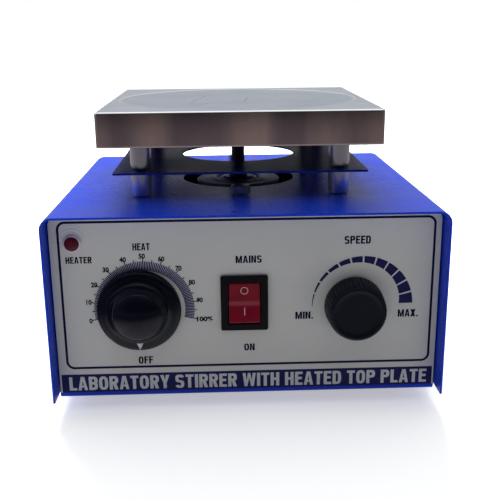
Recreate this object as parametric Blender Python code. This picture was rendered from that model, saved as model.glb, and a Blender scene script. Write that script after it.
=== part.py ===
"""Magnetic stirrer with hot plate: folded sheet case, stacked hot plate, motor-driven magnet.

Metres, +Z up. The front faces -Y. The origin is the bottom centre of the object's box,
on the surface that the four feet stand on. Each object is one separate physical piece.
"""

import math

import bmesh
import bpy
from mathutils import Matrix, Vector

# ---------------------------------------------------------------- driving dimensions
GAP = 0.0003  # clearance left between pieces that touch
SHEET = 0.0012  # case sheet

CASE_WIDTH = 0.2120
CASE_DEPTH = 0.1940
CASE_TOP = 0.1140
FOOT_HEIGHT = 0.0080
SIDE_RISE = 0.0030  # the cover's side edges end this far above the chassis underside
HOOD = 0.0120  # the cover stands this far past the facia and past the back panel
COVER_BEND = 0.0065
CHASSIS_BEND = 0.0025
PANEL_CORNER = 0.0056  # the panels' top corners, which clear the cover's bends
FLANGE = 0.0100
SIDE_FLANGE_TOP = 0.0200

KNOB_REACH = 0.0170  # heat knob, in front of the facia
PANEL_Y = (KNOB_REACH + HOOD - CASE_DEPTH) / 2  # the facia's front face
FRONT_EDGE = PANEL_Y - HOOD
BACK_EDGE = FRONT_EDGE + CASE_DEPTH
BACK_Y = BACK_EDGE - HOOD  # outer face of the chassis back panel

FACIA_THICKNESS = 0.0008
FACIA_BOTTOM = FOOT_HEIGHT + 0.0038
FACIA_HALF_WIDTH = 0.1040
CHASSIS_FRONT = PANEL_Y + FACIA_THICKNESS + GAP
CHASSIS_HALF_WIDTH = CASE_WIDTH / 2 - SHEET - GAP
CHASSIS_TOP = CASE_TOP - SHEET - GAP
PANEL_BACK = CHASSIS_FRONT + SHEET  # inner face of the chassis front panel

# Stack above the case: shield, hot plate and the pillars that carry them
STACK_X, STACK_Y = -0.0020, PANEL_Y + 0.0960
PILLAR_PITCH = 0.1120
PILLAR_RADIUS = 0.0059
PILLAR_BORE = 0.0034
CASE_HOLE_RADIUS = 0.0350
SHIELD_SIDE = 0.1410
SHIELD_THICKNESS = 0.0012
SHIELD_Z = 0.1284
PLATE_SIDE = 0.1550
PLATE_SHEET = 0.0010
PLATE_BOTTOM = 0.1443
PLATE_TOP = 0.1634
PLATE_CORNER = 0.0020
INNER_SIDE = 0.1500  # heater, insulation and backing plate
BACKING_Z = PLATE_BOTTOM + 0.0012
BACKING_THICKNESS = 0.0015
INSULATION_THICKNESS = 0.0100
ROTOR_HOLE_RADIUS = 0.0380

# Drive
BRACKET_Z = 0.1010
BRACKET_THICKNESS = 0.0020
BRACKET_RADIUS = 0.0262
BRACKET_LIP = 0.0004  # the welded middle boss stands this far below the strap's face
BOSS_TOP = 0.1138  # the boss fills most of the cover's hole, just under its top face
BRACKET_REACH = 0.0540  # bracket bolts, from the stack's axis
BRACKET_ARM_WIDTH = 0.0240
MOTOR_RADIUS = 0.0270
MOTOR_HEIGHT = 0.0580
STUD_OFFSET = 0.0180
MOTOR_TOP = BRACKET_Z - BRACKET_LIP - GAP
SPINDLE_RADIUS = 0.0030
MOTOR_SHAFT_RADIUS = 0.0030
DRIVE_SHAFT_RADIUS = 0.0040
COUPLING_RADIUS = 0.0095
COUPLING_Z = 0.1060
COUPLING_HEIGHT = 0.0140
COUPLING_SHOULDER = 0.1148
COUPLING_NECK = 0.0058
HOLDER_Z = 0.1500
HOLDER_LENGTH, HOLDER_WIDTH, HOLDER_HEIGHT = 0.0620, 0.0180, 0.0100
MAGNET_RADIUS, MAGNET_HEIGHT, MAGNET_OFFSET = 0.0065, 0.0080, 0.0210

# Controls on the front panel, as (x, z)
HEAT_AT = (-0.0584, 0.0600)
SWITCH_AT = (-0.0017, 0.0627)
SPEED_AT = (0.0579, 0.0600)
LAMP_AT = (-0.0920, 0.0974)
HEAT_SKIRT_RADIUS = 0.02275
SPEED_KNOB_RADIUS = 0.0163
SPEED_KNOB_REACH = 0.0160
BEZEL_WIDTH, BEZEL_HEIGHT, BEZEL_THICKNESS = 0.0255, 0.0310, 0.0020
ROCKER_WIDTH = 0.0168
ROCKER_RADIUS = 0.0114  # its end faces, about the pivot
ROCKER_CREASE = 0.0022  # from the pivot to the crease between its two faces
ROCKER_TILT = math.radians(13)
ROCKER_PIVOT_Y = PANEL_Y + 0.0005

# Back panel, as (x, z)
INLET_AT = (-0.0560, 0.0480)
FUSE_AT = (-0.0100, 0.0480)
INLET_SCREW_PITCH = 0.0400

FOOT_RADIUS = 0.0095
FOOT_INSET_X, FOOT_INSET_Y = 0.0290, 0.0290
COVER_SCREW_Z = 0.0155
COVER_SCREW_INSET = 0.0320

UP, FORWARD, RIGHT = Vector((0, 0, 1)), Vector((0, -1, 0)), Vector((1, 0, 0))


# ---------------------------------------------------------------- materials
def material(name, colour, roughness, metallic=0.0):
    made = bpy.data.materials.new(name)
    made.use_nodes = True
    shader = made.node_tree.nodes["Principled BSDF"]
    shader.inputs["Base Color"].default_value = (*colour, 1)
    shader.inputs["Roughness"].default_value = roughness
    shader.inputs["Metallic"].default_value = metallic
    made.diffuse_color = (*colour, 1)
    return made


def make_materials():
    return {
        "blue_enamel": material("blue_enamel", (0.020, 0.022, 0.300), 0.32),
        "facia_print": material("facia_print", (0.42, 0.42, 0.43), 0.45),
        "stainless": material("stainless", (0.60, 0.58, 0.56), 0.22, 1.0),
        "plated_steel": material("plated_steel", (0.62, 0.62, 0.60), 0.35, 1.0),
        "dark_steel": material("dark_steel", (0.10, 0.10, 0.11), 0.50, 1.0),
        "aluminium": material("aluminium", (0.70, 0.71, 0.72), 0.35, 1.0),
        "brass": material("brass", (0.72, 0.55, 0.25), 0.35, 1.0),
        "black_bakelite": material("black_bakelite", (0.012, 0.012, 0.014), 0.30),
        "black_plastic": material("black_plastic", (0.020, 0.020, 0.023), 0.55),
        "red_plastic": material("red_plastic", (0.45, 0.010, 0.030), 0.30),
        "lamp_red": material("lamp_red", (0.20, 0.004, 0.010), 0.15),
        "rubber": material("rubber", (0.020, 0.020, 0.020), 0.85),
        "mica": material("mica", (0.55, 0.45, 0.30), 0.60),
        "mineral_board": material("mineral_board", (0.75, 0.73, 0.68), 0.90),
        "ferrite": material("ferrite", (0.08, 0.08, 0.09), 0.45),
        "board_green": material("board_green", (0.02, 0.20, 0.06), 0.50),
        "porcelain": material("porcelain", (0.85, 0.84, 0.80), 0.30),
        "sleeving": material("sleeving", (0.80, 0.78, 0.72), 0.80),
    }


# ---------------------------------------------------------------- mesh helpers
def new_object(name, mesh_maker, finish):
    """Turns the bmesh into an object whose faces point out, with one material."""
    bmesh.ops.recalc_face_normals(mesh_maker, faces=mesh_maker.faces)
    mesh = bpy.data.meshes.new(name)
    mesh_maker.to_mesh(mesh)
    mesh_maker.free()
    mesh.shade_smooth()
    mesh.set_sharp_from_angle(angle=math.radians(35))
    obj = bpy.data.objects.new(name, mesh)
    bpy.context.scene.collection.objects.link(obj)
    if finish is None:
        obj.hide_render = True
        obj.display_type = "WIRE"
    else:
        mesh.materials.append(finish)
    return obj


def add_box(shape, low, high):
    corners = [
        shape.verts.new((x, y, z))
        for z in (low[2], high[2])
        for y in (low[1], high[1])
        for x in (low[0], high[0])
    ]
    for face in ((0, 2, 3, 1), (4, 5, 7, 6), (0, 1, 5, 4), (2, 6, 7, 3), (0, 4, 6, 2), (1, 3, 7, 5)):
        shape.faces.new([corners[i] for i in face])


def add_prism(shape, outline, axis, low, high):
    """Extrudes a closed outline: (u, v) are (y, z) on axis X, (x, z) on Y and (x, y) on Z."""
    place = {
        "X": lambda u, v, w: (w, u, v),
        "Y": lambda u, v, w: (u, w, v),
        "Z": lambda u, v, w: (u, v, w),
    }[axis]
    near = [shape.verts.new(place(u, v, low)) for u, v in outline]
    far = [shape.verts.new(place(u, v, high)) for u, v in outline]
    shape.faces.new(near)
    shape.faces.new(list(reversed(far)))
    for i in range(len(outline)):
        j = (i + 1) % len(outline)
        shape.faces.new((near[j], near[i], far[i], far[j]))


def add_turned(shape, profile, centre, axis, steps, ring=False):
    """Revolves (radius, height) points about an axis. A ring's profile closes on itself."""
    turn = UP.rotation_difference(axis).to_matrix()
    loops = []
    for radius, height in profile:
        count = 1 if radius == 0 else steps
        loops.append(
            [
                shape.verts.new(
                    Vector(centre)
                    + turn
                    @ Vector(
                        (
                            radius * math.cos(2 * math.pi * i / steps),
                            radius * math.sin(2 * math.pi * i / steps),
                            height,
                        )
                    )
                )
                for i in range(count)
            ]
        )
    pairs = list(zip(loops, loops[1:] + loops[:1])) if ring else list(zip(loops, loops[1:]))
    for first, second in pairs:
        for i in range(steps):
            j = (i + 1) % steps
            quad = [first[i % len(first)], first[j % len(first)]]
            quad += [second[j % len(second)], second[i % len(second)]]
            shape.faces.new(list(dict.fromkeys(quad)))
    for loop in () if ring else (loops[0], loops[-1]):
        if len(loop) > 1:
            shape.faces.new(loop)


def box_object(name, low, high, finish=None):
    shape = bmesh.new()
    add_box(shape, low, high)
    return new_object(name, shape, finish)


def prism_object(name, outline, axis, low, high, finish=None):
    shape = bmesh.new()
    add_prism(shape, outline, axis, low, high)
    return new_object(name, shape, finish)


def turned_object(name, profile, centre, axis, finish=None, steps=32, ring=False):
    shape = bmesh.new()
    add_turned(shape, profile, centre, axis, steps, ring)
    return new_object(name, shape, finish)


def tube_object(name, inner, outer, low, high, centre, axis, finish=None, steps=24):
    profile = [(outer, low), (outer, high), (inner, high), (inner, low)]
    return turned_object(name, profile, centre, axis, finish, steps, ring=True)


def boolean(obj, helper, operation="DIFFERENCE"):
    """Cuts the helper from the object, or joins it on. The helper stays hidden."""
    helper.hide_render = True
    helper.display_type = "WIRE"
    step = obj.modifiers.new(helper.name, "BOOLEAN")
    step.operation = operation
    step.object = helper
    step.solver = "EXACT"
    return obj


def drill(obj, holes, axis, steps=28):
    """Cuts round holes, each (centre, radius, half length), along one axis."""
    shape = bmesh.new()
    for centre, radius, reach in holes:
        add_turned(shape, [(radius, -reach), (radius, reach)], centre, axis, steps)
    return boolean(obj, new_object(obj.name + "_drill", shape, None))


def rounded_rectangle(width, height, radius, centre=(0, 0), steps=4):
    outline = []
    for quarter, (sx, sy) in enumerate(((1, 1), (-1, 1), (-1, -1), (1, -1))):
        cx = centre[0] + sx * (width / 2 - radius)
        cy = centre[1] + sy * (height / 2 - radius)
        for i in range(steps + 1):
            angle = math.pi / 2 * (quarter + i / steps)
            outline.append((cx + radius * math.cos(angle), cy + radius * math.sin(angle)))
    return outline


def folded_sheet(path, thickness, bend, steps=6):
    """Outline of a bent sheet. The path is one face; the other lies to its left.

    Each corner becomes an arc whose outer radius is bend, whichever way it turns.
    """
    points = [Vector(p) for p in path]
    near, far = [], []

    def put(point, normal):
        near.append(tuple(point))
        far.append(tuple(point + normal * thickness))

    def left(direction):
        return Vector((-direction.y, direction.x))

    put(points[0], left((points[1] - points[0]).normalized()))
    for before, corner, after in zip(points, points[1:], points[2:]):
        into, out = (corner - before).normalized(), (after - corner).normalized()
        turn = math.atan2(into.x * out.y - into.y * out.x, into.dot(out))
        side = math.copysign(1, turn)
        radius = bend if side > 0 else bend - thickness
        centre = corner - into * radius * math.tan(abs(turn) / 2) + left(into) * side * radius
        for i in range(steps + 1):
            normal = Matrix.Rotation(turn * i / steps, 2) @ left(into)
            put(centre - normal * side * radius, normal)
    put(points[-1], left((points[-1] - points[-2]).normalized()))
    return near + far[::-1]


def hexagon(across_flats, centre):
    radius = across_flats / math.sqrt(3)
    corners = [math.radians(60 * i + 30) for i in range(6)]
    return [(centre[0] + radius * math.cos(a), centre[1] + radius * math.sin(a)) for a in corners]


def corners_of(pitch_x, pitch_y, centre=(0, 0)):
    """The four corner positions of a rectangle, with the words that name them."""
    for y_word, sy in (("front", -1), ("rear", 1)):
        for x_word, sx in (("left", -1), ("right", 1)):
            yield f"{y_word}_{x_word}", centre[0] + sx * pitch_x / 2, centre[1] + sy * pitch_y / 2


def on_panel(spot, y=PANEL_Y):
    return (spot[0], y, spot[1])


# ---------------------------------------------------------------- case
COVER_HOLES = [(x, y, 0.0033) for _, x, y in corners_of(PILLAR_PITCH, PILLAR_PITCH, (STACK_X, STACK_Y))]
BRACKET_BOLTS = (("front", STACK_Y - BRACKET_REACH), ("rear", STACK_Y + BRACKET_REACH))
LEAD_AT = (STACK_X + 0.0460, STACK_Y + 0.0425)
GROMMET_RADIUS = 0.0052
COVER_SCREWS = (FRONT_EDGE + HOOD + COVER_SCREW_INSET, BACK_Y - COVER_SCREW_INSET)


def make_cover(finish):
    half, low = CASE_WIDTH / 2, FOOT_HEIGHT + SIDE_RISE
    path = [(half, low), (half, CASE_TOP), (-half, CASE_TOP), (-half, low)]
    outline = folded_sheet(path, SHEET, COVER_BEND)
    cover = prism_object("cover", outline, "Y", FRONT_EDGE, BACK_EDGE, finish)
    reach = 4 * SHEET
    holes = [((x, y, CASE_TOP), radius, reach) for x, y, radius in COVER_HOLES]
    holes += [((STACK_X, y, CASE_TOP), 0.0033, reach) for _, y in BRACKET_BOLTS]
    holes.append(((*LEAD_AT, CASE_TOP), GROMMET_RADIUS, reach))
    drill(cover, holes, UP, 12)
    large = turned_object(
        "cover_large_hole",
        [(CASE_HOLE_RADIUS, -reach), (CASE_HOLE_RADIUS, reach)],
        (STACK_X, STACK_Y, CASE_TOP),
        UP,
        steps=48,
    )
    boolean(cover, large)
    sides = bmesh.new()
    for y in COVER_SCREWS:
        add_turned(sides, [(0.0022, -half - reach), (0.0022, half + reach)], (0, y, COVER_SCREW_Z), RIGHT, 12)
    return boolean(cover, new_object("cover_side_holes", sides, None))


def panel_holes(plate):
    """Cuts the openings for the four controls through the facia or the chassis front."""
    reach = 0.006
    round_holes = [
        (on_panel(HEAT_AT), 0.0052, reach),
        (on_panel(SPEED_AT), 0.0039, reach),
        (on_panel(LAMP_AT), 0.0042, reach),
    ]
    drill(plate, round_holes, FORWARD)
    width, height = BEZEL_WIDTH - 0.0031, BEZEL_HEIGHT - 0.0024
    window = rounded_rectangle(width, height, 0.001, SWITCH_AT, 2)
    cutter = prism_object(plate.name + "_switch_window", window, "Y", PANEL_Y - reach, PANEL_Y + reach)
    return boolean(plate, cutter)


def make_facia(finish):
    half, centre = FACIA_HALF_WIDTH, (0, (FACIA_BOTTOM + CHASSIS_TOP) / 2)
    corners = rounded_rectangle(2 * half, CHASSIS_TOP - FACIA_BOTTOM, PANEL_CORNER, centre)
    outline = [point for point in corners if point[1] > centre[1]]
    outline += [(-half, FACIA_BOTTOM), (half, FACIA_BOTTOM)]
    facia = prism_object("facia_plate", outline, "Y", PANEL_Y, PANEL_Y + FACIA_THICKNESS, finish)
    return panel_holes(facia)


def make_chassis(finish):
    """Folded tray: base, front and back panels, side flanges, and a flange along each top edge."""
    half, low = CHASSIS_HALF_WIDTH, FOOT_HEIGHT
    path = [(CHASSIS_FRONT, CHASSIS_TOP), (CHASSIS_FRONT, low), (BACK_Y, low), (BACK_Y, CHASSIS_TOP)]
    sheet = folded_sheet(path, SHEET, CHASSIS_BEND, 4)
    outside, inside = sheet[: len(sheet) // 2], sheet[len(sheet) // 2 :]
    chassis = prism_object("chassis", outside, "X", -half, half, finish)
    rise = CHASSIS_TOP - SHEET
    hollow = [(y, min(z, rise)) for y, z in inside]
    boolean(chassis, prism_object("chassis_hollow", hollow, "X", SHEET - half, half - SHEET))
    front, back = CHASSIS_FRONT + FLANGE, BACK_Y - FLANGE
    mouth = ((SHEET - half, front, rise - 0.01), (half - SHEET, back, CHASSIS_TOP + 0.01))
    boolean(chassis, box_object("chassis_mouth", *mouth))
    windows = ((-half - 0.01, front, SIDE_FLANGE_TOP), (half + 0.01, back, CHASSIS_TOP + 0.01))
    boolean(chassis, box_object("chassis_side_windows", *windows))
    margin = 0.0002
    height = 2 * (CHASSIS_TOP + margin)
    corners = rounded_rectangle(2 * (half + margin), height, PANEL_CORNER + margin)
    boolean(chassis, prism_object("chassis_corners", corners, "Y", FRONT_EDGE, BACK_EDGE), "INTERSECT")
    panel_holes(chassis)
    back_holes = [(on_panel(FUSE_AT, BACK_Y), 0.0063, 0.005)]
    for sx in (-1, 1):
        spot = (INLET_AT[0] + sx * INLET_SCREW_PITCH / 2, BACK_Y, INLET_AT[1])
        back_holes.append((spot, 0.0019, 0.005))
    drill(chassis, back_holes, FORWARD, 16)
    window = rounded_rectangle(0.0282, 0.0208, 0.002, INLET_AT, 2)
    boolean(chassis, prism_object("chassis_inlet_window", window, "Y", BACK_Y - 0.005, BACK_Y + 0.005))
    cutter = bmesh.new()
    for _, x, y in foot_places():
        add_turned(cutter, [(0.0038, low - 0.004), (0.0038, low + 0.004)], (x, y, 0), UP, 16)
    boolean(chassis, new_object("chassis_foot_holes", cutter, None))
    sides = bmesh.new()
    for y in COVER_SCREWS:
        add_turned(sides, [(0.0018, -half - 0.005), (0.0018, half + 0.005)], (0, y, COVER_SCREW_Z), RIGHT, 12)
    return boolean(chassis, new_object("chassis_side_holes", sides, None))


def foot_places():
    pitch_x = CASE_WIDTH - 2 * FOOT_INSET_X
    middle = (CHASSIS_FRONT + BACK_Y) / 2
    return list(corners_of(pitch_x, BACK_Y - CHASSIS_FRONT - 2 * FOOT_INSET_Y, (0, middle)))


def make_feet(finish):
    """Push-in rubber feet: a tapered pad, a neck through the base and a barb above it."""
    neck, top = 0.0035, FOOT_HEIGHT + SHEET
    profile = [
        (0, 0),
        (FOOT_RADIUS - 0.0015, 0),
        (FOOT_RADIUS, FOOT_HEIGHT - 0.0015),
        (FOOT_RADIUS - 0.0005, FOOT_HEIGHT - GAP),
        (neck, FOOT_HEIGHT - GAP),
        (neck, top + GAP),
        (0.0052, top + GAP),
        (0.0030, top + 0.0045),
        (0, top + 0.0045),
    ]
    for word, x, y in foot_places():
        turned_object("foot_" + word, profile, (x, y, 0), UP, finish, 16)


def make_cover_screws(finish):
    outside = CASE_WIDTH / 2 + GAP
    profile = [
        (0, 0.0017),
        (0.0022, 0.0015),
        (0.0035, 0.0007),
        (0.0036, 0),
        (0.0015, 0),
        (0.0015, -0.0070),
        (0, -0.0070),
    ]
    for x_word, side in (("left", -1), ("right", 1)):
        for y_word, y in zip(("front", "rear"), COVER_SCREWS):
            place = (side * outside, y, COVER_SCREW_Z)
            turned_object(f"cover_screw_{y_word}_{x_word}", profile, place, RIGHT * side, finish, 16)


# ---------------------------------------------------------------- hot plate and its pillars
def square_plate(name, side, low, high, finish, corner=0.002):
    outline = rounded_rectangle(side, side, corner, (STACK_X, STACK_Y), 3)
    return prism_object(name, outline, "Z", low, high, finish)


def pillar_places():
    return list(corners_of(PILLAR_PITCH, PILLAR_PITCH, (STACK_X, STACK_Y)))


def centre_hole(plate, radius, z, steps=32):
    profile = [(radius, z - 0.03), (radius, z + 0.03)]
    cutter = turned_object(plate.name + "_hole", profile, (STACK_X, STACK_Y, 0), UP, steps=steps)
    return boolean(plate, cutter)


def make_hot_plate(finish):
    """Stainless tray, open below: a flat top with a skirt folded down on all four sides."""
    tray = square_plate("hot_plate", PLATE_SIDE, PLATE_BOTTOM, PLATE_TOP, finish, PLATE_CORNER)
    rim = tray.modifiers.new("top_edge", "BEVEL")
    rim.width, rim.segments = 0.0012, 2
    rim.limit_method, rim.angle_limit = "ANGLE", math.radians(60)
    inside, corner = PLATE_SIDE - 2 * PLATE_SHEET, PLATE_CORNER - PLATE_SHEET
    under_top = PLATE_TOP - PLATE_SHEET
    hollow = square_plate("hot_plate_hollow", inside, PLATE_BOTTOM - 0.01, under_top, None, corner)
    return boolean(tray, hollow)


def make_heater(materials):
    """Mica heater under the plate's top, mineral board under that, and a steel plate with weld nuts."""
    backing_top = BACKING_Z + BACKING_THICKNESS
    board_low = backing_top + GAP
    heater_low = board_low + INSULATION_THICKNESS + GAP
    under_top = PLATE_TOP - PLATE_SHEET
    heater = square_plate("heater_element", INNER_SIDE, heater_low, under_top - GAP, materials["mica"])
    centre_hole(heater, ROTOR_HOLE_RADIUS, heater_low)
    board_finish = materials["mineral_board"]
    board = square_plate("heater_insulation", INNER_SIDE, board_low, heater_low - GAP, board_finish)
    centre_hole(board, ROTOR_HOLE_RADIUS, board_low)
    steel = materials["plated_steel"]
    backing = square_plate("heater_backing_plate", INNER_SIDE, BACKING_Z, backing_top, steel)
    centre_hole(backing, 0.0095, BACKING_Z, 24)
    for word, x, y in pillar_places():
        low = backing_top - GAP
        nut = prism_object("plate_nut_" + word, hexagon(0.0100, (x, y)), "Z", low, low + 0.005)
        boolean(backing, nut, "UNION")
    for piece, radius in ((board, 0.0065), (backing, 0.0033)):
        drill(piece, [((x, y, board_low), radius, 0.02) for _, x, y in pillar_places()], UP, 12)
    boolean(backing, lead_way("backing_lead_way"))


def lead_way(name):
    """Cutter for the heater lead, through everything above the case."""
    profile = [(0.0036, CASE_TOP + 0.005), (0.0036, BACKING_Z + 0.010)]
    return turned_object(name, profile, (*LEAD_AT, 0), UP, steps=12)


def make_shield(finish):
    shield = square_plate("heat_shield", SHIELD_SIDE, SHIELD_Z, SHIELD_Z + SHIELD_THICKNESS, finish, 0.001)
    centre_hole(shield, CASE_HOLE_RADIUS, SHIELD_Z, 48)
    holes = [((x, y, SHIELD_Z), 0.0033, 0.01) for _, x, y in pillar_places()]
    drill(shield, holes, UP, 12)
    return boolean(shield, lead_way("shield_lead_way"))


def make_pillars(tube_finish, bolt_finish):
    """Two spacer tubes on each long bolt, which rises from under the cover into the backing plate."""
    shield_top = SHIELD_Z + SHIELD_THICKNESS
    head_top = CASE_TOP - SHEET - GAP
    bolt_top = BACKING_Z + BACKING_THICKNESS + 0.006
    for word, x, y in pillar_places():
        at = (x, y, 0)
        lower = ("lower_spacer_" + word, CASE_TOP + GAP, SHIELD_Z - GAP)
        upper = ("upper_spacer_" + word, shield_top + GAP, BACKING_Z - GAP)
        for name, low, high in (lower, upper):
            tube_object(name, PILLAR_BORE, PILLAR_RADIUS, low, high, at, UP, tube_finish, 20)
        shank = [(0.0030, head_top - 0.002), (0.0030, bolt_top)]
        bolt = prism_object(
            "stack_bolt_" + word, hexagon(0.010, (x, y)), "Z", head_top - 0.004, head_top, bolt_finish
        )
        boolean(bolt, turned_object("shank_" + word, shank, at, UP, steps=12), "UNION")


# ---------------------------------------------------------------- controls
def make_heat_knob(finish):
    """Round skirt with a domed grip. Heights run forward from the facia."""
    reach = KNOB_REACH
    profile = [
        (0, reach - 0.0002),
        (0.0060, reach),
        (0.0105, reach - 0.0006),
        (0.0125, reach - 0.0022),
        (0.0150, 0.0066),
        (0.0162, 0.0054),
        (0.0205, 0.0050),
        (0.0222, 0.0042),
        (HEAT_SKIRT_RADIUS, 0.0026),
        (HEAT_SKIRT_RADIUS, 0.0010),
        (0.0140, 0.0010),
        (0.0120, 0.0040),
        (0.0033, 0.0040),
        (0.0033, 0.0125),
        (0, 0.0125),
    ]
    knob = turned_object("heat_knob", profile[::-1], (0, 0, 0), FORWARD, finish, 36)
    knob.location = on_panel(HEAT_AT)
    return knob


def make_speed_knob(finish):
    reach, radius = SPEED_KNOB_REACH, SPEED_KNOB_RADIUS
    profile = [
        (0, reach - 0.0004),
        (radius - 0.0036, reach - 0.0004),
        (radius - 0.0028, reach),
        (radius - 0.0018, reach - 0.0004),
        (radius - 0.0008, reach - 0.0020),
        (radius, 0.0020),
        (radius, 0.0010),
        (0.0100, 0.0010),
        (0.0080, 0.0041),
        (0.0033, 0.0041),
        (0.0033, 0.0120),
        (0, 0.0120),
    ]
    knob = turned_object("speed_knob", profile[::-1], (0, 0, 0), FORWARD, finish, 36)
    knob.location = on_panel(SPEED_AT)
    return knob


def make_rotary(names, spot, body, bush, shaft_reach, finishes):
    """What a turning control needs besides its body: a bush through the panel, its nut, and the spindle.

    The body's own shape is given; the bush is joined to it and bored for the spindle.
    """
    shaft_name, nut_name = names
    shaft_finish, nut_finish = finishes
    outer, inner = bush
    centre = on_panel(spot)
    behind = PANEL_Y - PANEL_BACK - GAP

    def along(name, radius, low, high):
        return turned_object(name, [(radius, low), (radius, high)], centre, FORWARD, steps=20)

    boolean(body, along(body.name + "_bush", outer, behind - 0.003, 0.0033), "UNION")
    boolean(body, along(body.name + "_bore", inner, behind - 0.006, 0.02))
    profile = [(SPINDLE_RADIUS, behind - 0.0055), (SPINDLE_RADIUS, shaft_reach)]
    turned_object(shaft_name, profile, (0, 0, 0), FORWARD, shaft_finish, 16).location = centre
    flats = hexagon(2 * outer + 0.0035, spot)
    nut = prism_object(nut_name, flats, "Y", PANEL_Y - GAP - 0.0022, PANEL_Y - GAP, nut_finish)
    boolean(nut, along(nut_name + "_bore", outer + GAP, -0.01, 0.01))


def make_heat_regulator(materials):
    x, z = HEAT_AT
    back = PANEL_BACK + GAP
    low, high = (x - 0.018, back, z - 0.021), (x + 0.018, back + 0.030, z + 0.021)
    body = box_object("heat_regulator", low, high, materials["black_bakelite"])
    for i, dx in enumerate((-0.011, 0, 0.011)):
        low = (x + dx - 0.0031, back + 0.028, z - 0.014)
        high = (x + dx + 0.0031, back + 0.037, z - 0.0132)
        boolean(body, box_object(f"regulator_tab_{i}", low, high), "UNION")
    names, finishes = ("regulator_spindle", "regulator_nut"), (materials["brass"], materials["brass"])
    make_rotary(names, HEAT_AT, body, (0.0048, 0.0033), 0.0120, finishes)


def make_speed_potentiometer(materials):
    x, z = SPEED_AT
    back = PANEL_BACK + GAP
    profile = [(0.0120, 0), (0.0120, 0.010)]
    centre = (x, back + 0.010, z)
    body = turned_object("speed_potentiometer", profile, centre, FORWARD, materials["dark_steel"], 28)
    low, high = (x - 0.0070, back + 0.002, z - 0.0190), (x + 0.0070, back + 0.0036, z - 0.0100)
    boolean(body, box_object("potentiometer_tags", low, high), "UNION")
    names = ("potentiometer_shaft", "potentiometer_nut")
    finishes = (materials["aluminium"], materials["plated_steel"])
    make_rotary(names, SPEED_AT, body, (0.0037, 0.0033), 0.0115, finishes)


def rocker_pin(name, radius, reach):
    centre = (SWITCH_AT[0], ROCKER_PIVOT_Y, SWITCH_AT[1])
    return turned_object(name, [(radius, -reach), (radius, reach)], centre, RIGHT, steps=12)


def make_switch(body_finish, rocker_finish):
    x, z = SWITCH_AT
    front, back = PANEL_Y - GAP - BEZEL_THICKNESS, PANEL_BACK + 0.020
    bezel = rounded_rectangle(BEZEL_WIDTH, BEZEL_HEIGHT, 0.0008, SWITCH_AT, 2)
    housing = prism_object("switch_housing", bezel, "Y", front, PANEL_Y - GAP, body_finish)
    body = rounded_rectangle(BEZEL_WIDTH - 0.0038, BEZEL_HEIGHT - 0.0032, 0.0008, SWITCH_AT, 2)
    boolean(housing, prism_object("switch_body", body, "Y", front + 0.0008, back), "UNION")
    width, height = ROCKER_WIDTH + 2 * GAP, 2 * (ROCKER_RADIUS + GAP)
    well = rounded_rectangle(width, height, 0.0004, SWITCH_AT, 1)
    well_floor = ROCKER_PIVOT_Y + ROCKER_RADIUS + 0.001
    boolean(housing, prism_object("switch_well", well, "Y", front - 0.01, well_floor))
    for i, (dx, dz) in enumerate(((-0.005, -0.009), (0.005, -0.009), (-0.005, 0), (0.005, 0))):
        low = (x + dx - 0.0004, back - 0.002, z + dz - 0.0031)
        high = (x + dx + 0.0004, back + 0.008, z + dz + 0.0031)
        boolean(housing, box_object(f"switch_blade_{i}", low, high), "UNION")

    # The rocker in its level position, about its pivot: forward is -Y here, so u runs back.
    slope, crease = math.tan(ROCKER_TILT), ROCKER_CREASE
    a, b, c = 1 + slope**2, 2 * crease * slope, crease**2 - ROCKER_RADIUS**2
    tip = (-b + math.sqrt(b * b - 4 * a * c)) / (2 * a)
    start = math.atan2(tip, crease + slope * tip)
    end = math.radians(120)
    arc = [start + (end - start) * i / 8 for i in range(9)]
    lower = [(-ROCKER_RADIUS * math.cos(t), -ROCKER_RADIUS * math.sin(t)) for t in arc]
    upper = [(u, -v) for u, v in reversed(lower)]
    outline = [(-crease, 0), *lower, *upper]
    rocker = prism_object("switch_rocker", outline, "X", -ROCKER_WIDTH / 2, ROCKER_WIDTH / 2, rocker_finish)
    trunnion = ROCKER_WIDTH / 2 + 0.0010
    boolean(rocker, rocker_pin("rocker_trunnions", 0.0012, trunnion), "UNION")
    boolean(housing, rocker_pin("trunnion_sockets", 0.0012 + GAP, trunnion + GAP))
    rocker.location = (x, ROCKER_PIVOT_Y, z)
    rocker.data.transform(Matrix.Rotation(-ROCKER_TILT, 4, "X"))


def make_lamp(body_finish, lens_finish):
    """Indicator lamp: a ring flange and barrel, open in front for the lens's stem."""
    centre = on_panel(LAMP_AT)
    barrel, tail = PANEL_Y - PANEL_BACK - 0.0150, PANEL_Y - PANEL_BACK - 0.0180
    flange = [(0.0038, GAP), (0.00475, GAP), (0.00475, 0.0008), (0.0043, 0.0012)]
    socket = [(0.0034, 0.0012), (0.0034, -0.0060), (0, -0.0060)]
    body = [(0, tail), (0.0030, tail), (0.0038, barrel), *flange, *socket]
    turned_object("lamp_body", body, centre, FORWARD, body_finish, 20)
    dome = [(0.0039 * math.cos(t), 0.0015 + 0.0030 * math.sin(t)) for t in map(math.radians, (0, 22, 45, 68))]
    lens = [(0, -0.0040), (0.0031, -0.0040), (0.0031, 0.0015), *dome, (0, 0.0045)]
    turned_object("lamp_lens", lens, centre, FORWARD, lens_finish, 20)


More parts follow.
